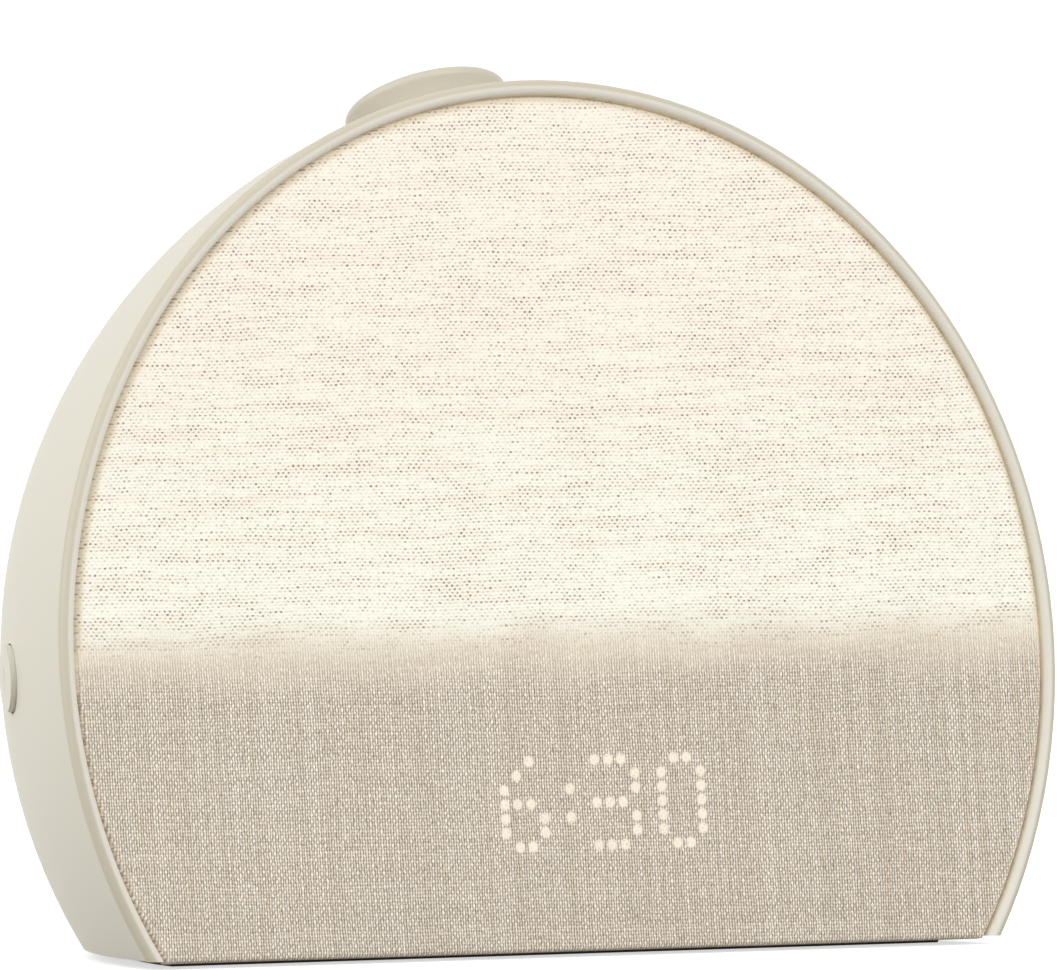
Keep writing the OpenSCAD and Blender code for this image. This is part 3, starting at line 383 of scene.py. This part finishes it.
def softSpeckle(name, dark, pale, scale, roughness, bump):
    material, tree, bsdf = newMaterial(name)
    fibres = noiseOf(tree, positionMm(tree), scale, 5.0, 0.7)
    tree.links.new(blendColour(tree, fibres, dark, pale), bsdf.inputs["Base Color"])
    bsdf.inputs["Roughness"].default_value = roughness
    addBump(tree, bsdf, fibres, bump, 0.6)
    return material


def acousticCloth():
    material, tree, bsdf = newMaterial("acousticCloth")
    out = addWeave(tree, facePositionMm(tree), warpPitch=0.22, weftPitch=0.22, waviness=0.1, warpProud=0.15)
    threads = blendColour(tree, out["Warp Over"], (0.012, 0.012, 0.012, 1), (0.035, 0.034, 0.032, 1))
    tree.links.new(threads, bsdf.inputs["Base Color"])
    bsdf.inputs["Roughness"].default_value = 0.85
    addBump(tree, bsdf, out["Height"], 0.08)
    return material


def lampPhosphor():
    material, tree, bsdf = newMaterial("lampPhosphor")
    position = positionMm(tree)
    grains = noiseOf(tree, position, 3.0, 4.0, 0.7)
    for name, dark, pale in (("Base Color", (0.85, 0.62, 0.22, 1), (0.95, 0.82, 0.45, 1)),
                             ("Emission Color", (1.0, 0.72, 0.38, 1), (1.0, 0.86, 0.6, 1))):
        tree.links.new(blendColour(tree, grains, dark, pale), bsdf.inputs[name])
    bsdf.inputs["Emission Strength"].default_value = 0.6
    bsdf.inputs["Roughness"].default_value = 0.4
    return material


linen = {
    "warpPitch": 0.54, "weftPitch": 0.63, "waviness": 0.5, "warpProud": 0.25,
    "warpPale": linearOf(252, 246, 233), "warpDull": linearOf(216, 205, 187),
    "weftPale": linearOf(232, 221, 204), "weftDull": linearOf(182, 169, 148),
    "columnShade": (0.52, 1.30),         # painted shade between the warp threads, painted highlight on their crowns
    "rowShade": (0.70, 1.19), "fibreShade": (0.62, 1.42), "pairShade": 0.06, "brightest": 1.16,
    "paintedUnlitGlow": (0.142, 0.122, 0.101, 1),   # painted glow that brightens the unlit lower half, stronger on the warp threads
    "paintedEdgeGlow": 1.9,                     # how much more painted glow is added round the rolled edge, where it lifts the shade
    "litCream": (0.67, 0.695, 0.64, 1), "litPeach": (0.66, 0.615, 0.56, 1),
    "litBase": linearOf(172, 162, 144),
    "dotDepth": 1.0, "lineDepth": 0.17, "warpLine": 0.07,
    "patch": 0.35, "patchTint": (1.0, 0.95, 0.90, 1),   # slow brownish patches by daylight
    "edgeWander": 7.0, "dotBlock": 0.45,
    "horizon": 0.9, "fade": 8.6,         # middle and width of the step from lit to unlit, mm
    "duskTint": (1.0, 0.90, 0.78, 1),
    "dotColour": (0.66, 0.61, 0.52, 1),
}


def linenMaterial():
    material, tree, bsdf = newMaterial("naturalLinen")
    position = facePositionMm(tree)
    out = addWeave(tree, position, linen["warpPitch"], linen["weftPitch"], linen["waviness"], linen["warpProud"])
    split = addNode(tree, "ShaderNodeSeparateXYZ")
    tree.links.new(position, split.inputs[0])
    x, z = split.outputs[0], split.outputs[2]

    # the cloth by daylight: pale warp dashes over a duller weft, each crossing a little different
    chance = out["Cell Random"]
    warpShare = plus(tree, remap(tree, out["Warp Tone"], 0.25, 0.75, 0.0, 0.7), times(tree, chance, 0.3))
    weftShare = plus(tree, remap(tree, out["Weft Tone"], 0.25, 0.75, 0.0, 0.45), times(tree, chance, 0.55))
    warpColour = blendColour(tree, warpShare, linen["warpDull"], linen["warpPale"])
    weftColour = blendColour(tree, weftShare, linen["weftDull"], linen["weftPale"])
    threads = blendColour(tree, out["Warp Over"], weftColour, warpColour)
    # painted shade between the threads and between the weft rows, painted highlight on their crowns, times a paler
    # tone on every other warp
    groove = times(tree, remap(tree, out["Warp Line"], 0.0, 0.85, *linen["columnShade"]),
                   remap(tree, out["Weft Line"], 0.0, 0.8, *linen["rowShade"]))
    groove = times(tree, groove, plus(tree, 1.0, times(tree, out["Warp Pair"], linen["pairShade"])))
    shaded = addNode(tree, "ShaderNodeHueSaturation")
    tree.links.new(threads, shaded.inputs["Color"])
    fibreShade = remap(tree, out["Fibre"], 0.28, 0.72, *linen["fibreShade"], smooth=False)
    brightness = calc(tree, "MINIMUM", times(tree, groove, fibreShade), linen["brightest"])
    tree.links.new(brightness, shaded.inputs["Value"])
    patch = noiseOf(tree, joinXyz(tree, times(tree, x, 0.05), times(tree, z, 0.03), 5.0), 1.0, 3.0)
    browner = tinted(tree, shaded.outputs[0], linen["patchTint"])
    daylight = blendColour(tree, remap(tree, patch, 0.3, 0.7, 0.0, linen["patch"]), shaded.outputs[0], browner)

    # how much light comes through from behind
    wander = noiseOf(tree, joinXyz(tree, times(tree, x, 0.05), times(tree, z, 0.1), 12.0), 1.0, 3.0)
    unevenEdge = times(tree, minus(tree, wander, 0.5), linen["edgeWander"])
    level = plus(tree, z, unevenEdge)
    lit = remap(tree, level, linen["horizon"] - linen["fade"], linen["horizon"] + linen["fade"])
    radius = distanceFrom(tree, x, z)
    rimFade = remap(tree, radius, face["radius"] - 0.1, face["radius"] - 1.4, 0.55, 1.0)
    topFade = remap(tree, z, 10.0, 62.0)
    streak = plus(tree, times(tree, out["Row Band"], 0.6), times(tree, out["Weft Streak"], 0.4))
    peachy = plus(tree, remap(tree, streak, 0.42, 0.66, 0.0, 0.7), times(tree, topFade, 0.5), clamp=True)
    tint = noiseOf(tree, joinXyz(tree, times(tree, x, 0.5), z, 60.0), 1.1, 2.0)  # threads differ in warmth
    peachy = plus(tree, peachy, times(tree, minus(tree, tint, 0.5), 0.7), clamp=True)
    glow = blendColour(tree, peachy, linen["litCream"], linen["litPeach"])
    nearRim = remap(tree, radius, face["radius"] - 2.2, face["radius"] - 0.3)
    warmer = larger(tree, remap(tree, lit, 0.95, 0.45), nearRim)
    glow = blendColour(tree, warmer, glow, tinted(tree, glow, linen["duskTint"]))
    # thick crossings hold the light back, most of all along a coarse thread
    run = plus(tree, times(tree, out["Weft Streak"], 0.65), times(tree, out["Row Band"], 0.35))
    coarse = remap(tree, run, 0.38, 0.66, 0.30, 1.0)
    spread = plus(tree, times(tree, calc(tree, "POWER", chance, 1.3), 0.85), 0.30)
    block = times(tree, times(tree, out["Crossing Dot"], coarse), spread)
    through = minus(tree, 1.0, times(tree, block, linen["dotDepth"]), clamp=True)
    weftLine = times(tree, out["Weft Line"], remap(tree, run, 0.3, 0.65, 0.3, 1.0))
    through = minus(tree, through, times(tree, weftLine, linen["lineDepth"]), clamp=True)
    warpLine = times(tree, out["Warp Line"], remap(tree, out["Warp Tone"], 0.3, 0.7))
    through = minus(tree, through, times(tree, warpLine, linen["warpLine"]), clamp=True)
    through = times(tree, through, remap(tree, out["Height"], 0.0, 0.7, 0.90, 1.0))
    through = times(tree, through, remap(tree, chance, 0.0, 1.0, 1.03, 0.96, smooth=False))
    glowAmount = times(tree, times(tree, lit, through), rimFade)

    # lit dots of the display, marked on the mesh
    litCell = addNode(tree, "ShaderNodeAttribute", attribute_name="displayDot")
    dotLight = times(tree, litCell.outputs["Fac"], dotShape(tree, x, z))
    dotThrough = times(tree, minus(tree, 1.0, times(tree, block, linen["dotBlock"])),
                       remap(tree, out["Height"], 0.0, 0.7, 0.72, 1.0))
    dotAmount = times(tree, dotLight, dotThrough)

    anyLight = larger(tree, lit, dotLight)
    litThread = addNode(tree, "ShaderNodeHueSaturation")
    litThread.inputs["Color"].default_value = linen["litBase"]
    tree.links.new(remap(tree, through, 0.3, 1.0, 0.72, 1.0), litThread.inputs["Value"])
    base = blendColour(tree, times(tree, anyLight, 0.92), daylight, litThread.outputs[0])
    tree.links.new(base, bsdf.inputs["Base Color"])
    # painted glow on the unlit cloth, stronger on the warp threads
    paintedGlow = times(tree, minus(tree, 1.0, anyLight), remap(tree, out["Warp Line"], 0.0, 1.0, 0.35, 1.3))
    # painted glow round the rolled edge, lifting the shade where the edge turns back under the bezel lip
    edgeGlowMask = remap(tree, radius, face["radius"] - 1.5, face["radius"] - 0.4, 0.0, linen["paintedEdgeGlow"])
    paintedGlow = plus(tree, paintedGlow, times(tree, edgeGlowMask, minus(tree, 1.0, anyLight)))
    paintedGlowColour = fromBlack(tree, paintedGlow, linen["paintedUnlitGlow"])
    glowOnly = blendColour(tree, 1.0, fromBlack(tree, glowAmount, glow), paintedGlowColour, "ADD")
    dotOnly = fromBlack(tree, dotAmount, linen["dotColour"])
    tree.links.new(blendColour(tree, 1.0, glowOnly, dotOnly, "ADD"), bsdf.inputs["Emission Color"])
    bsdf.inputs["Emission Strength"].default_value = 1.0
    bsdf.inputs["Roughness"].default_value = 0.9
    bsdf.inputs["Specular IOR Level"].default_value = 0.15
    bsdf.inputs["Sheen Weight"].default_value = 0.05
    addBump(tree, bsdf, out["Height"], 0.12, 0.35)
    return material


display = {"columns": 21, "rows": 7, "pitchX": 2.78, "pitchZ": 2.6, "middle": -27.3,
           "core": 0.70, "edge": 1.28}
# rows from the top, as column numbers of each digit's own four columns
digitRows = {
    "6": [(2,), (1,), (0,), (0, 1, 2), (0, 3), (0, 3), (1, 2)],
    "3": [(0, 1, 2), (3,), (3,), (0, 1, 2), (3,), (3,), (0, 1, 2)],
    "0": [(1, 2), (0, 3), (0, 3), (0, 3), (0, 3), (0, 3), (1, 2)],
    ":": [(), (), (0,), (), (0,), (), ()],
}
shownTime = [("6", 5), (":", 10), ("3", 12), ("0", 17)]


def dotShape(tree, x, z):  # soft round spot in every cell of the display
    cellX = plus(tree, ratio(tree, x, display["pitchX"]), display["columns"] / 2)
    cellZ = plus(tree, ratio(tree, minus(tree, z, display["middle"]), display["pitchZ"]), display["rows"] / 2)
    dx = times(tree, minus(tree, calc(tree, "FRACT", cellX), 0.5), display["pitchX"])
    dz = times(tree, minus(tree, calc(tree, "FRACT", cellZ), 0.5), display["pitchZ"])
    away = distanceFrom(tree, dx, dz)
    return remap(tree, away, display["edge"], display["core"])


sideMark = {"height": 2.9, "width": 0.34, "up": 0.6, "dashHeight": 0.6, "dashUp": -2.1,
            "depth": 0.25, "darken": 0.62}


def engrave(material):  # one stroke and a dash below it, cut into the cap of both side buttons
    tree = material.node_tree
    bsdf = tree.nodes["Principled BSDF"]
    press = next(j for j in frame["joints"] if j["name"] == "right_button_press")
    inward = Vector(press["axis"])
    up = Vector((0, math.sin(leanAngle), math.cos(leanAngle)))
    side = inward.cross(up)
    mirrored = addNode(tree, "ShaderNodeVectorMath", operation="MULTIPLY")
    coords = addNode(tree, "ShaderNodeTexCoord")
    split = addNode(tree, "ShaderNodeSeparateXYZ")
    tree.links.new(coords.outputs["Object"], split.inputs[0])
    folded = joinXyz(tree, absolute(tree, split.outputs[0]), split.outputs[1], split.outputs[2])
    tree.links.new(folded, mirrored.inputs[0])
    mirrored.inputs[1].default_value = (1 / mm, 1 / mm, 1 / mm)
    fromCentre = addNode(tree, "ShaderNodeVectorMath", operation="SUBTRACT")
    tree.links.new(mirrored.outputs[0], fromCentre.inputs[0])
    fromCentre.inputs[1].default_value = Vector(press["pos_m"]) / mm

    def along(axis):
        dot = addNode(tree, "ShaderNodeVectorMath", operation="DOT_PRODUCT")
        tree.links.new(fromCentre.outputs[0], dot.inputs[0])
        dot.inputs[1].default_value = axis
        return dot.outputs["Value"]

    def within(value, middle, half, soft=0.08):
        return remap(tree, absolute(tree, minus(tree, value, middle)), half + soft, half - soft)

    rise, sideways = along(up), along(side)
    strokes = larger(tree, within(rise, sideMark["up"], sideMark["height"] / 2),
                     within(rise, sideMark["dashUp"], sideMark["dashHeight"] / 2))
    mark = times(tree, strokes, within(sideways, 0.0, sideMark["width"] / 2))
    plain = bsdf.inputs["Base Color"].links[0].from_socket
    shadow = tinted(tree, plain, (sideMark["darken"],) * 3 + (1,))
    tree.links.new(blendColour(tree, mark, plain, shadow), bsdf.inputs["Base Color"])
    cut = addNode(tree, "ShaderNodeBump", invert=True)
    cut.inputs["Distance"].default_value = sideMark["depth"] * mm
    tree.links.new(mark, cut.inputs["Height"])
    tree.links.new(bsdf.inputs["Normal"].links[0].from_socket, cut.inputs["Normal"])
    tree.links.new(cut.outputs[0], bsdf.inputs["Normal"])
    return material


rim = {"outerBand": 1.5, "outerSoft": 0.55, "innerBand": 1.1,
       "paintedCreaseShade": (0.74, 0.715, 0.64, 1), "paintedClothLight": (1.0, 0.96, 0.88, 1)}


def shadeRim(material):  # painted shade on the outer band towards the housing, painted warm light from the lit cloth on the inner band
    tree = material.node_tree
    bsdf = tree.nodes["Principled BSDF"]
    split = addNode(tree, "ShaderNodeSeparateXYZ")
    tree.links.new(facePositionMm(tree), split.inputs[0])
    radius = distanceFrom(tree, split.outputs[0], split.outputs[2])
    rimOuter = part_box("front_bezel")[1].x / mm
    colour = bsdf.inputs["Base Color"].links[0].from_socket
    # painted shade on the outer band of the rim, in the crease beside the housing
    outerShadeMask = remap(tree, radius, rimOuter - rim["outerBand"], rimOuter - rim["outerBand"] * rim["outerSoft"])
    colour = blendColour(tree, outerShadeMask, colour, tinted(tree, colour, rim["paintedCreaseShade"]))
    # painted warm light from the lit cloth on the inner band of the rim
    inner = remap(tree, radius, face["radius"] + rim["innerBand"], face["radius"])
    colour = blendColour(tree, inner, colour, tinted(tree, colour, rim["paintedClothLight"]))
    tree.links.new(colour, bsdf.inputs["Base Color"])
    return material


ivory = linearOf(228, 223, 208)
shellIvory = mouldedPlastic("shellIvory", ivory, 0.52, grain=0.22, mottle=0.025, bump=0.03)
rimIvory = shadeRim(mouldedPlastic("rimIvory", linearOf(239, 234, 221), 0.45, grain=0.18, mottle=0.02, bump=0.015))
# the same ivory plastic as the housing, darkened as painted shade
shadedButtonIvory = mouldedPlastic("shadedButtonIvory", linearOf(206, 200, 183), 0.42, grain=0.18, mottle=0.02, bump=0.015)
sideIvory = engrave(mouldedPlastic("sideIvory", ivory, 0.48, grain=0.18, mottle=0.02, bump=0.015))
whitePlastic = mouldedPlastic("whitePlastic", linearOf(240, 240, 236), 0.42, grain=0.3, mottle=0.02)
diffuserSheet = mouldedPlastic("diffuserSheet", linearOf(238, 234, 224), 0.6, grain=0.12, mottle=0.02, bump=0.02)
blackPlastic = mouldedPlastic("blackPlastic", (0.022, 0.022, 0.021, 1), 0.5, grain=0.3, mottle=0.12, bump=0.05)
footRubber = mouldedPlastic("footRubber", (0.045, 0.044, 0.038, 1), 0.78, grain=0.35, mottle=0.15, bump=0.08)
switchPlastic = mouldedPlastic("switchPlastic", linearOf(205, 196, 178), 0.4, grain=0.2, mottle=0.04)
foam = softSpeckle("foam", (0.01, 0.01, 0.01, 1), (0.05, 0.05, 0.05, 1), 2.5, 0.95, 0.2)
conePaper = softSpeckle("conePaper", (0.012, 0.012, 0.012, 1), (0.06, 0.06, 0.058, 1), 1.4, 0.8, 0.15)
platedSteel = metalFinish("platedSteel", (0.62, 0.62, 0.60, 1), 0.32, (0.6, 3.0, 0.6))
screwSteel = metalFinish("screwSteel", (0.50, 0.50, 0.49, 1), 0.34, (2.0, 6.0, 2.0))
springSteel = metalFinish("springSteel", (0.62, 0.62, 0.60, 1), 0.28, (4.0, 4.0, 0.8))
contactBrass = metalFinish("contactBrass", (0.80, 0.62, 0.32, 1), 0.25, (3.0, 3.0, 3.0))
platedCases = metalFinish("platedCases", (0.58, 0.58, 0.58, 1), 0.38, (1.0, 4.0, 1.0))
solderMask = circuitBoard()
lamps = lampPhosphor()
blackCloth = acousticCloth()
naturalLinen = linenMaterial()

finishes = {
    "shell_plastic": shellIvory, "rim_plastic": rimIvory, "button_plastic": shadedButtonIvory,
    "diffuser": diffuserSheet, "white_plastic": whitePlastic, "black_plastic": blackPlastic,
    "circuit_board": solderMask, "lamp": lamps, "component": platedCases, "black_cloth": blackCloth,
    "foam": foam, "plated_steel": platedSteel, "paper": conePaper, "contact_brass": contactBrass,
    "foot_rubber": footRubber, "spring_steel": springSteel, "switch_plastic": switchPlastic,
    "screw_steel": screwSteel, "linen": naturalLinen,
}
slotOf = {part["node"]: part["material_slot"] for part in frame["record"]["subparts"]}
for name, thing in nodes.items():
    thing.data.materials.clear()
    thing.data.materials.append(sideIvory if name in ("left_button", "right_button") else finishes[slotOf[name]])
print("materials on", len(nodes), "frame nodes")


cloth = {"edgeRound": 0.8, "turnBack": 2.7, "hem": (0.35, 0.1), "arcPoints": 220, "basePoints": 60, "proud": 0.02}


def meshPiece(name, mesh, body, material):
    thing = bpy.data.objects.new(name, mesh)
    bpy.context.scene.collection.objects.link(thing)
    mesh.materials.append(material)
    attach(thing, body)
    return thing


def archOutline(inset):  # closed loop of the arch, moved inwards
    r = face["radius"] - inset
    low = faceBottom + inset
    start = math.asin(low / r)
    count = cloth["arcPoints"]
    angles = [start + (math.pi - 2 * start) * i / count for i in range(count + 1)]
    loop = [(r * math.cos(angle), r * math.sin(angle)) for angle in angles]
    left, right = loop[-1], loop[0]
    straight = cloth["basePoints"]
    loop += [(left[0] + (right[0] - left[0]) * i / straight, low) for i in range(1, straight)]
    return loop


def litCells():
    cells = set()
    for digit, firstColumn in shownTime:
        for row, columns in enumerate(digitRows[digit]):
            for column in columns:
                cells.add((firstColumn + column, display["rows"] - 1 - row))
    return cells


def makeLinenFace():
    bm = bmesh.new()
    inner = archOutline(cloth["edgeRound"])
    depth = -cloth["proud"]
    ring = [bm.verts.new((x, depth, z)) for x, z in inner]
    bm.faces.new(ring)
    # cut the flat along the display's cells
    cuts = [(((i - display["columns"] / 2) * display["pitchX"], 0, 0), (1, 0, 0))
            for i in range(display["columns"] + 1)]
    cuts += [((0, 0, display["middle"] + (i - display["rows"] / 2) * display["pitchZ"]), (0, 0, 1))
             for i in range(display["rows"] + 1)]
    for at, across in cuts:
        everything = bm.verts[:] + bm.edges[:] + bm.faces[:]
        bmesh.ops.bisect_plane(bm, geom=everything, plane_co=at, plane_no=across)
    mark = bm.faces.layers.float.new("displayDot")
    wanted = litCells()
    rand = random.Random(6)
    for f in bm.faces:
        c = f.calc_center_median()
        column = math.floor(c.x / display["pitchX"] + display["columns"] / 2)
        row = math.floor((c.z - display["middle"]) / display["pitchZ"] + display["rows"] / 2)
        f[mark] = (0.88 + 0.12 * rand.random()) if (column, row) in wanted else 0.0
    # roll the edge back round the panel
    bm.edges.ensure_lookup_table()
    border = [e for e in bm.edges if len(e.link_faces) == 1]
    order = [border[0].verts[0]]
    used = set()
    while True:
        nextEdge = next((e for e in order[-1].link_edges if len(e.link_faces) == 1 and e not in used), None)
        if nextEdge is None:
            break
        used.add(nextEdge)
        other = nextEdge.other_vert(order[-1])
        if other is order[0]:
            break
        order.append(other)
    turns = [math.radians(angle) for angle in (15, 30, 45, 60, 75, 90)]
    steps = [(cloth["edgeRound"] * (1 - math.sin(turn)),
              cloth["edgeRound"] * (1 - math.cos(turn)) - cloth["proud"]) for turn in turns]
    steps.append((0.0, cloth["turnBack"]))
    steps.append((cloth["hem"][0], cloth["turnBack"] + cloth["hem"][1]))

    def movedOut(vertex, inset):
        shift = cloth["edgeRound"] - inset
        r = math.hypot(vertex.co.x, vertex.co.z)
        low = faceBottom + cloth["edgeRound"]
        onLow = abs(vertex.co.z - low) < 1e-4
        onArc = abs(r - (face["radius"] - cloth["edgeRound"])) < 0.02
        if onLow and onArc:
            newLow, newR = low - shift, face["radius"] - inset
            return math.copysign(math.sqrt(newR ** 2 - newLow ** 2), vertex.co.x), newLow
        if onLow:
            return vertex.co.x, low - shift
        grow = (r + shift) / r
        return vertex.co.x * grow, vertex.co.z * grow

    previous = order
    for inset, back in steps:
        fresh = []
        for vertex in order:
            x, z = movedOut(vertex, inset)
            fresh.append(bm.verts.new((x, back, z)))
        for i in range(len(order)):
            j = (i + 1) % len(order)
            bm.faces.new((previous[i], previous[j], fresh[j], fresh[i]))
        previous = fresh
    bmesh.ops.triangulate(bm, faces=[f for f in bm.faces if len(f.verts) > 4])
    bmesh.ops.recalc_face_normals(bm, faces=bm.faces[:])
    for v in bm.verts:
        v.co = faceToTable @ (v.co * mm)
    mesh = bpy.data.meshes.new("linenFace")
    bm.to_mesh(mesh)
    bm.free()
    facing = sum(p.normal.y * p.area for p in mesh.polygons)
    if facing > 0:
        mesh.flip_normals()
    for p in mesh.polygons:
        p.use_smooth = True
    return mesh


linenFace = meshPiece("linen_face", makeLinenFace(), "housing", naturalLinen)
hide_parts("fabric_cover")


camera = {"azimuth": -30.4, "elevation": 2.5, "pixelsPerMm": 5.485, "lens": 1540.0,
          "centreU": 562.3, "centreV": 653.7, "width": 1057, "height": 970}


def placeCamera():
    data = bpy.data.cameras.new("camera")
    data.lens = camera["lens"]
    data.sensor_width = 36.0
    data.sensor_fit = "AUTO"
    thing = bpy.data.objects.new("camera", data)
    bpy.context.scene.collection.objects.link(thing)
    a, e = math.radians(camera["azimuth"]), math.radians(camera["elevation"])
    back = Vector((math.sin(a) * math.cos(e), -math.cos(a) * math.cos(e), math.sin(e)))
    right = Vector((math.cos(a), math.sin(a), 0))
    up = back.cross(right)
    perMm = camera["pixelsPerMm"]
    target = Vector((0, faceY, face["centreHeight"]))
    sideways = right * ((camera["width"] / 2 - camera["centreU"]) / perMm)
    target += sideways + up * ((camera["centreV"] - camera["height"] / 2) / perMm)
    distance = (camera["width"] / perMm) * camera["lens"] / data.sensor_width
    thing.location = (target + back * distance) * mm
    thing.rotation_mode = "QUATERNION"
    thing.rotation_quaternion = (-back).to_track_quat("-Z", "Y")
    data.clip_start, data.clip_end = 0.1, 30.0
    bpy.context.scene.camera = thing


def softBox(name, place, target, size, watts):
    data = bpy.data.lights.new(name, "AREA")
    data.shape = "RECTANGLE"
    data.size, data.size_y = size
    data.energy = watts
    thing = bpy.data.objects.new(name, data)
    bpy.context.scene.collection.objects.link(thing)
    thing.location = place
    thing.rotation_mode = "QUATERNION"
    thing.rotation_quaternion = (Vector(target) - Vector(place)).to_track_quat("-Z", "Y")


stage = {"floor": 6.0, "below": 0.0002, "paleness": (0.80, 0.80, 0.79, 1), "bounce": (0.28, 0.275, 0.26, 1),
         "shine": 0.62}


def makeFloor():
    bm = bmesh.new()
    bmesh.ops.create_grid(bm, x_segments=1, y_segments=1, size=stage["floor"])
    mesh = bpy.data.meshes.new("floor")
    bm.to_mesh(mesh)
    bm.free()
    thing = bpy.data.objects.new("floor", mesh)
    thing.location = (0, 0, -stage["below"])
    bpy.context.scene.collection.objects.link(thing)
    material, tree, bsdf = newMaterial("paleFloor")
    tree.nodes.remove(bsdf)
    out = tree.nodes["Material Output"]
    diffuse = addNode(tree, "ShaderNodeBsdfDiffuse")
    diffuse.inputs["Color"].default_value = stage["paleness"]
    dull = addNode(tree, "ShaderNodeBsdfDiffuse")  # what the object sees of it
    dull.inputs["Color"].default_value = stage["bounce"]
    shine = addNode(tree, "ShaderNodeEmission")
    shine.inputs["Color"].default_value = (1, 1, 1, 1)
    shine.inputs["Strength"].default_value = stage["shine"]
    lit = addNode(tree, "ShaderNodeAddShader")
    tree.links.new(diffuse.outputs[0], lit.inputs[0])
    tree.links.new(shine.outputs[0], lit.inputs[1])
    path = addNode(tree, "ShaderNodeLightPath")
    seen = larger(tree, path.outputs["Is Camera Ray"], path.outputs["Is Glossy Ray"])
    mix = addNode(tree, "ShaderNodeMixShader")
    tree.links.new(seen, mix.inputs[0])
    tree.links.new(dull.outputs[0], mix.inputs[1])
    tree.links.new(lit.outputs[0], mix.inputs[2])
    tree.links.new(mix.outputs[0], out.inputs["Surface"])
    mesh.materials.append(material)


def makeWorld(strength):
    world = bpy.data.worlds.new("studio")
    bpy.context.scene.world = world
    world.use_nodes = True
    tree = world.node_tree
    background = tree.nodes["Background"]
    path = addNode(tree, "ShaderNodeLightPath")
    seen = larger(tree, path.outputs["Is Glossy Ray"], path.outputs["Is Transmission Ray"])
    seen = larger(tree, path.outputs["Is Camera Ray"], seen)
    tree.links.new(remap(tree, seen, 0.0, 1.0, strength, 1.0, smooth=False), background.inputs["Strength"])
    background.inputs["Color"].default_value = (1, 1, 1, 1)


placeCamera()
makeFloor()
makeWorld(0.77)
middle = (0, 0, 0.07)
softBox("softLeft", (-1.6, 0.1, 0.55), middle, (1.3, 1.3), 11)
softBox("softFront", (0.3, -1.9, 0.9), middle, (1.3, 1.1), 13)
bpy.context.scene.view_settings.view_transform = "Standard"
print("camera, floor and lights placed")

bpy.context.view_layer.update()
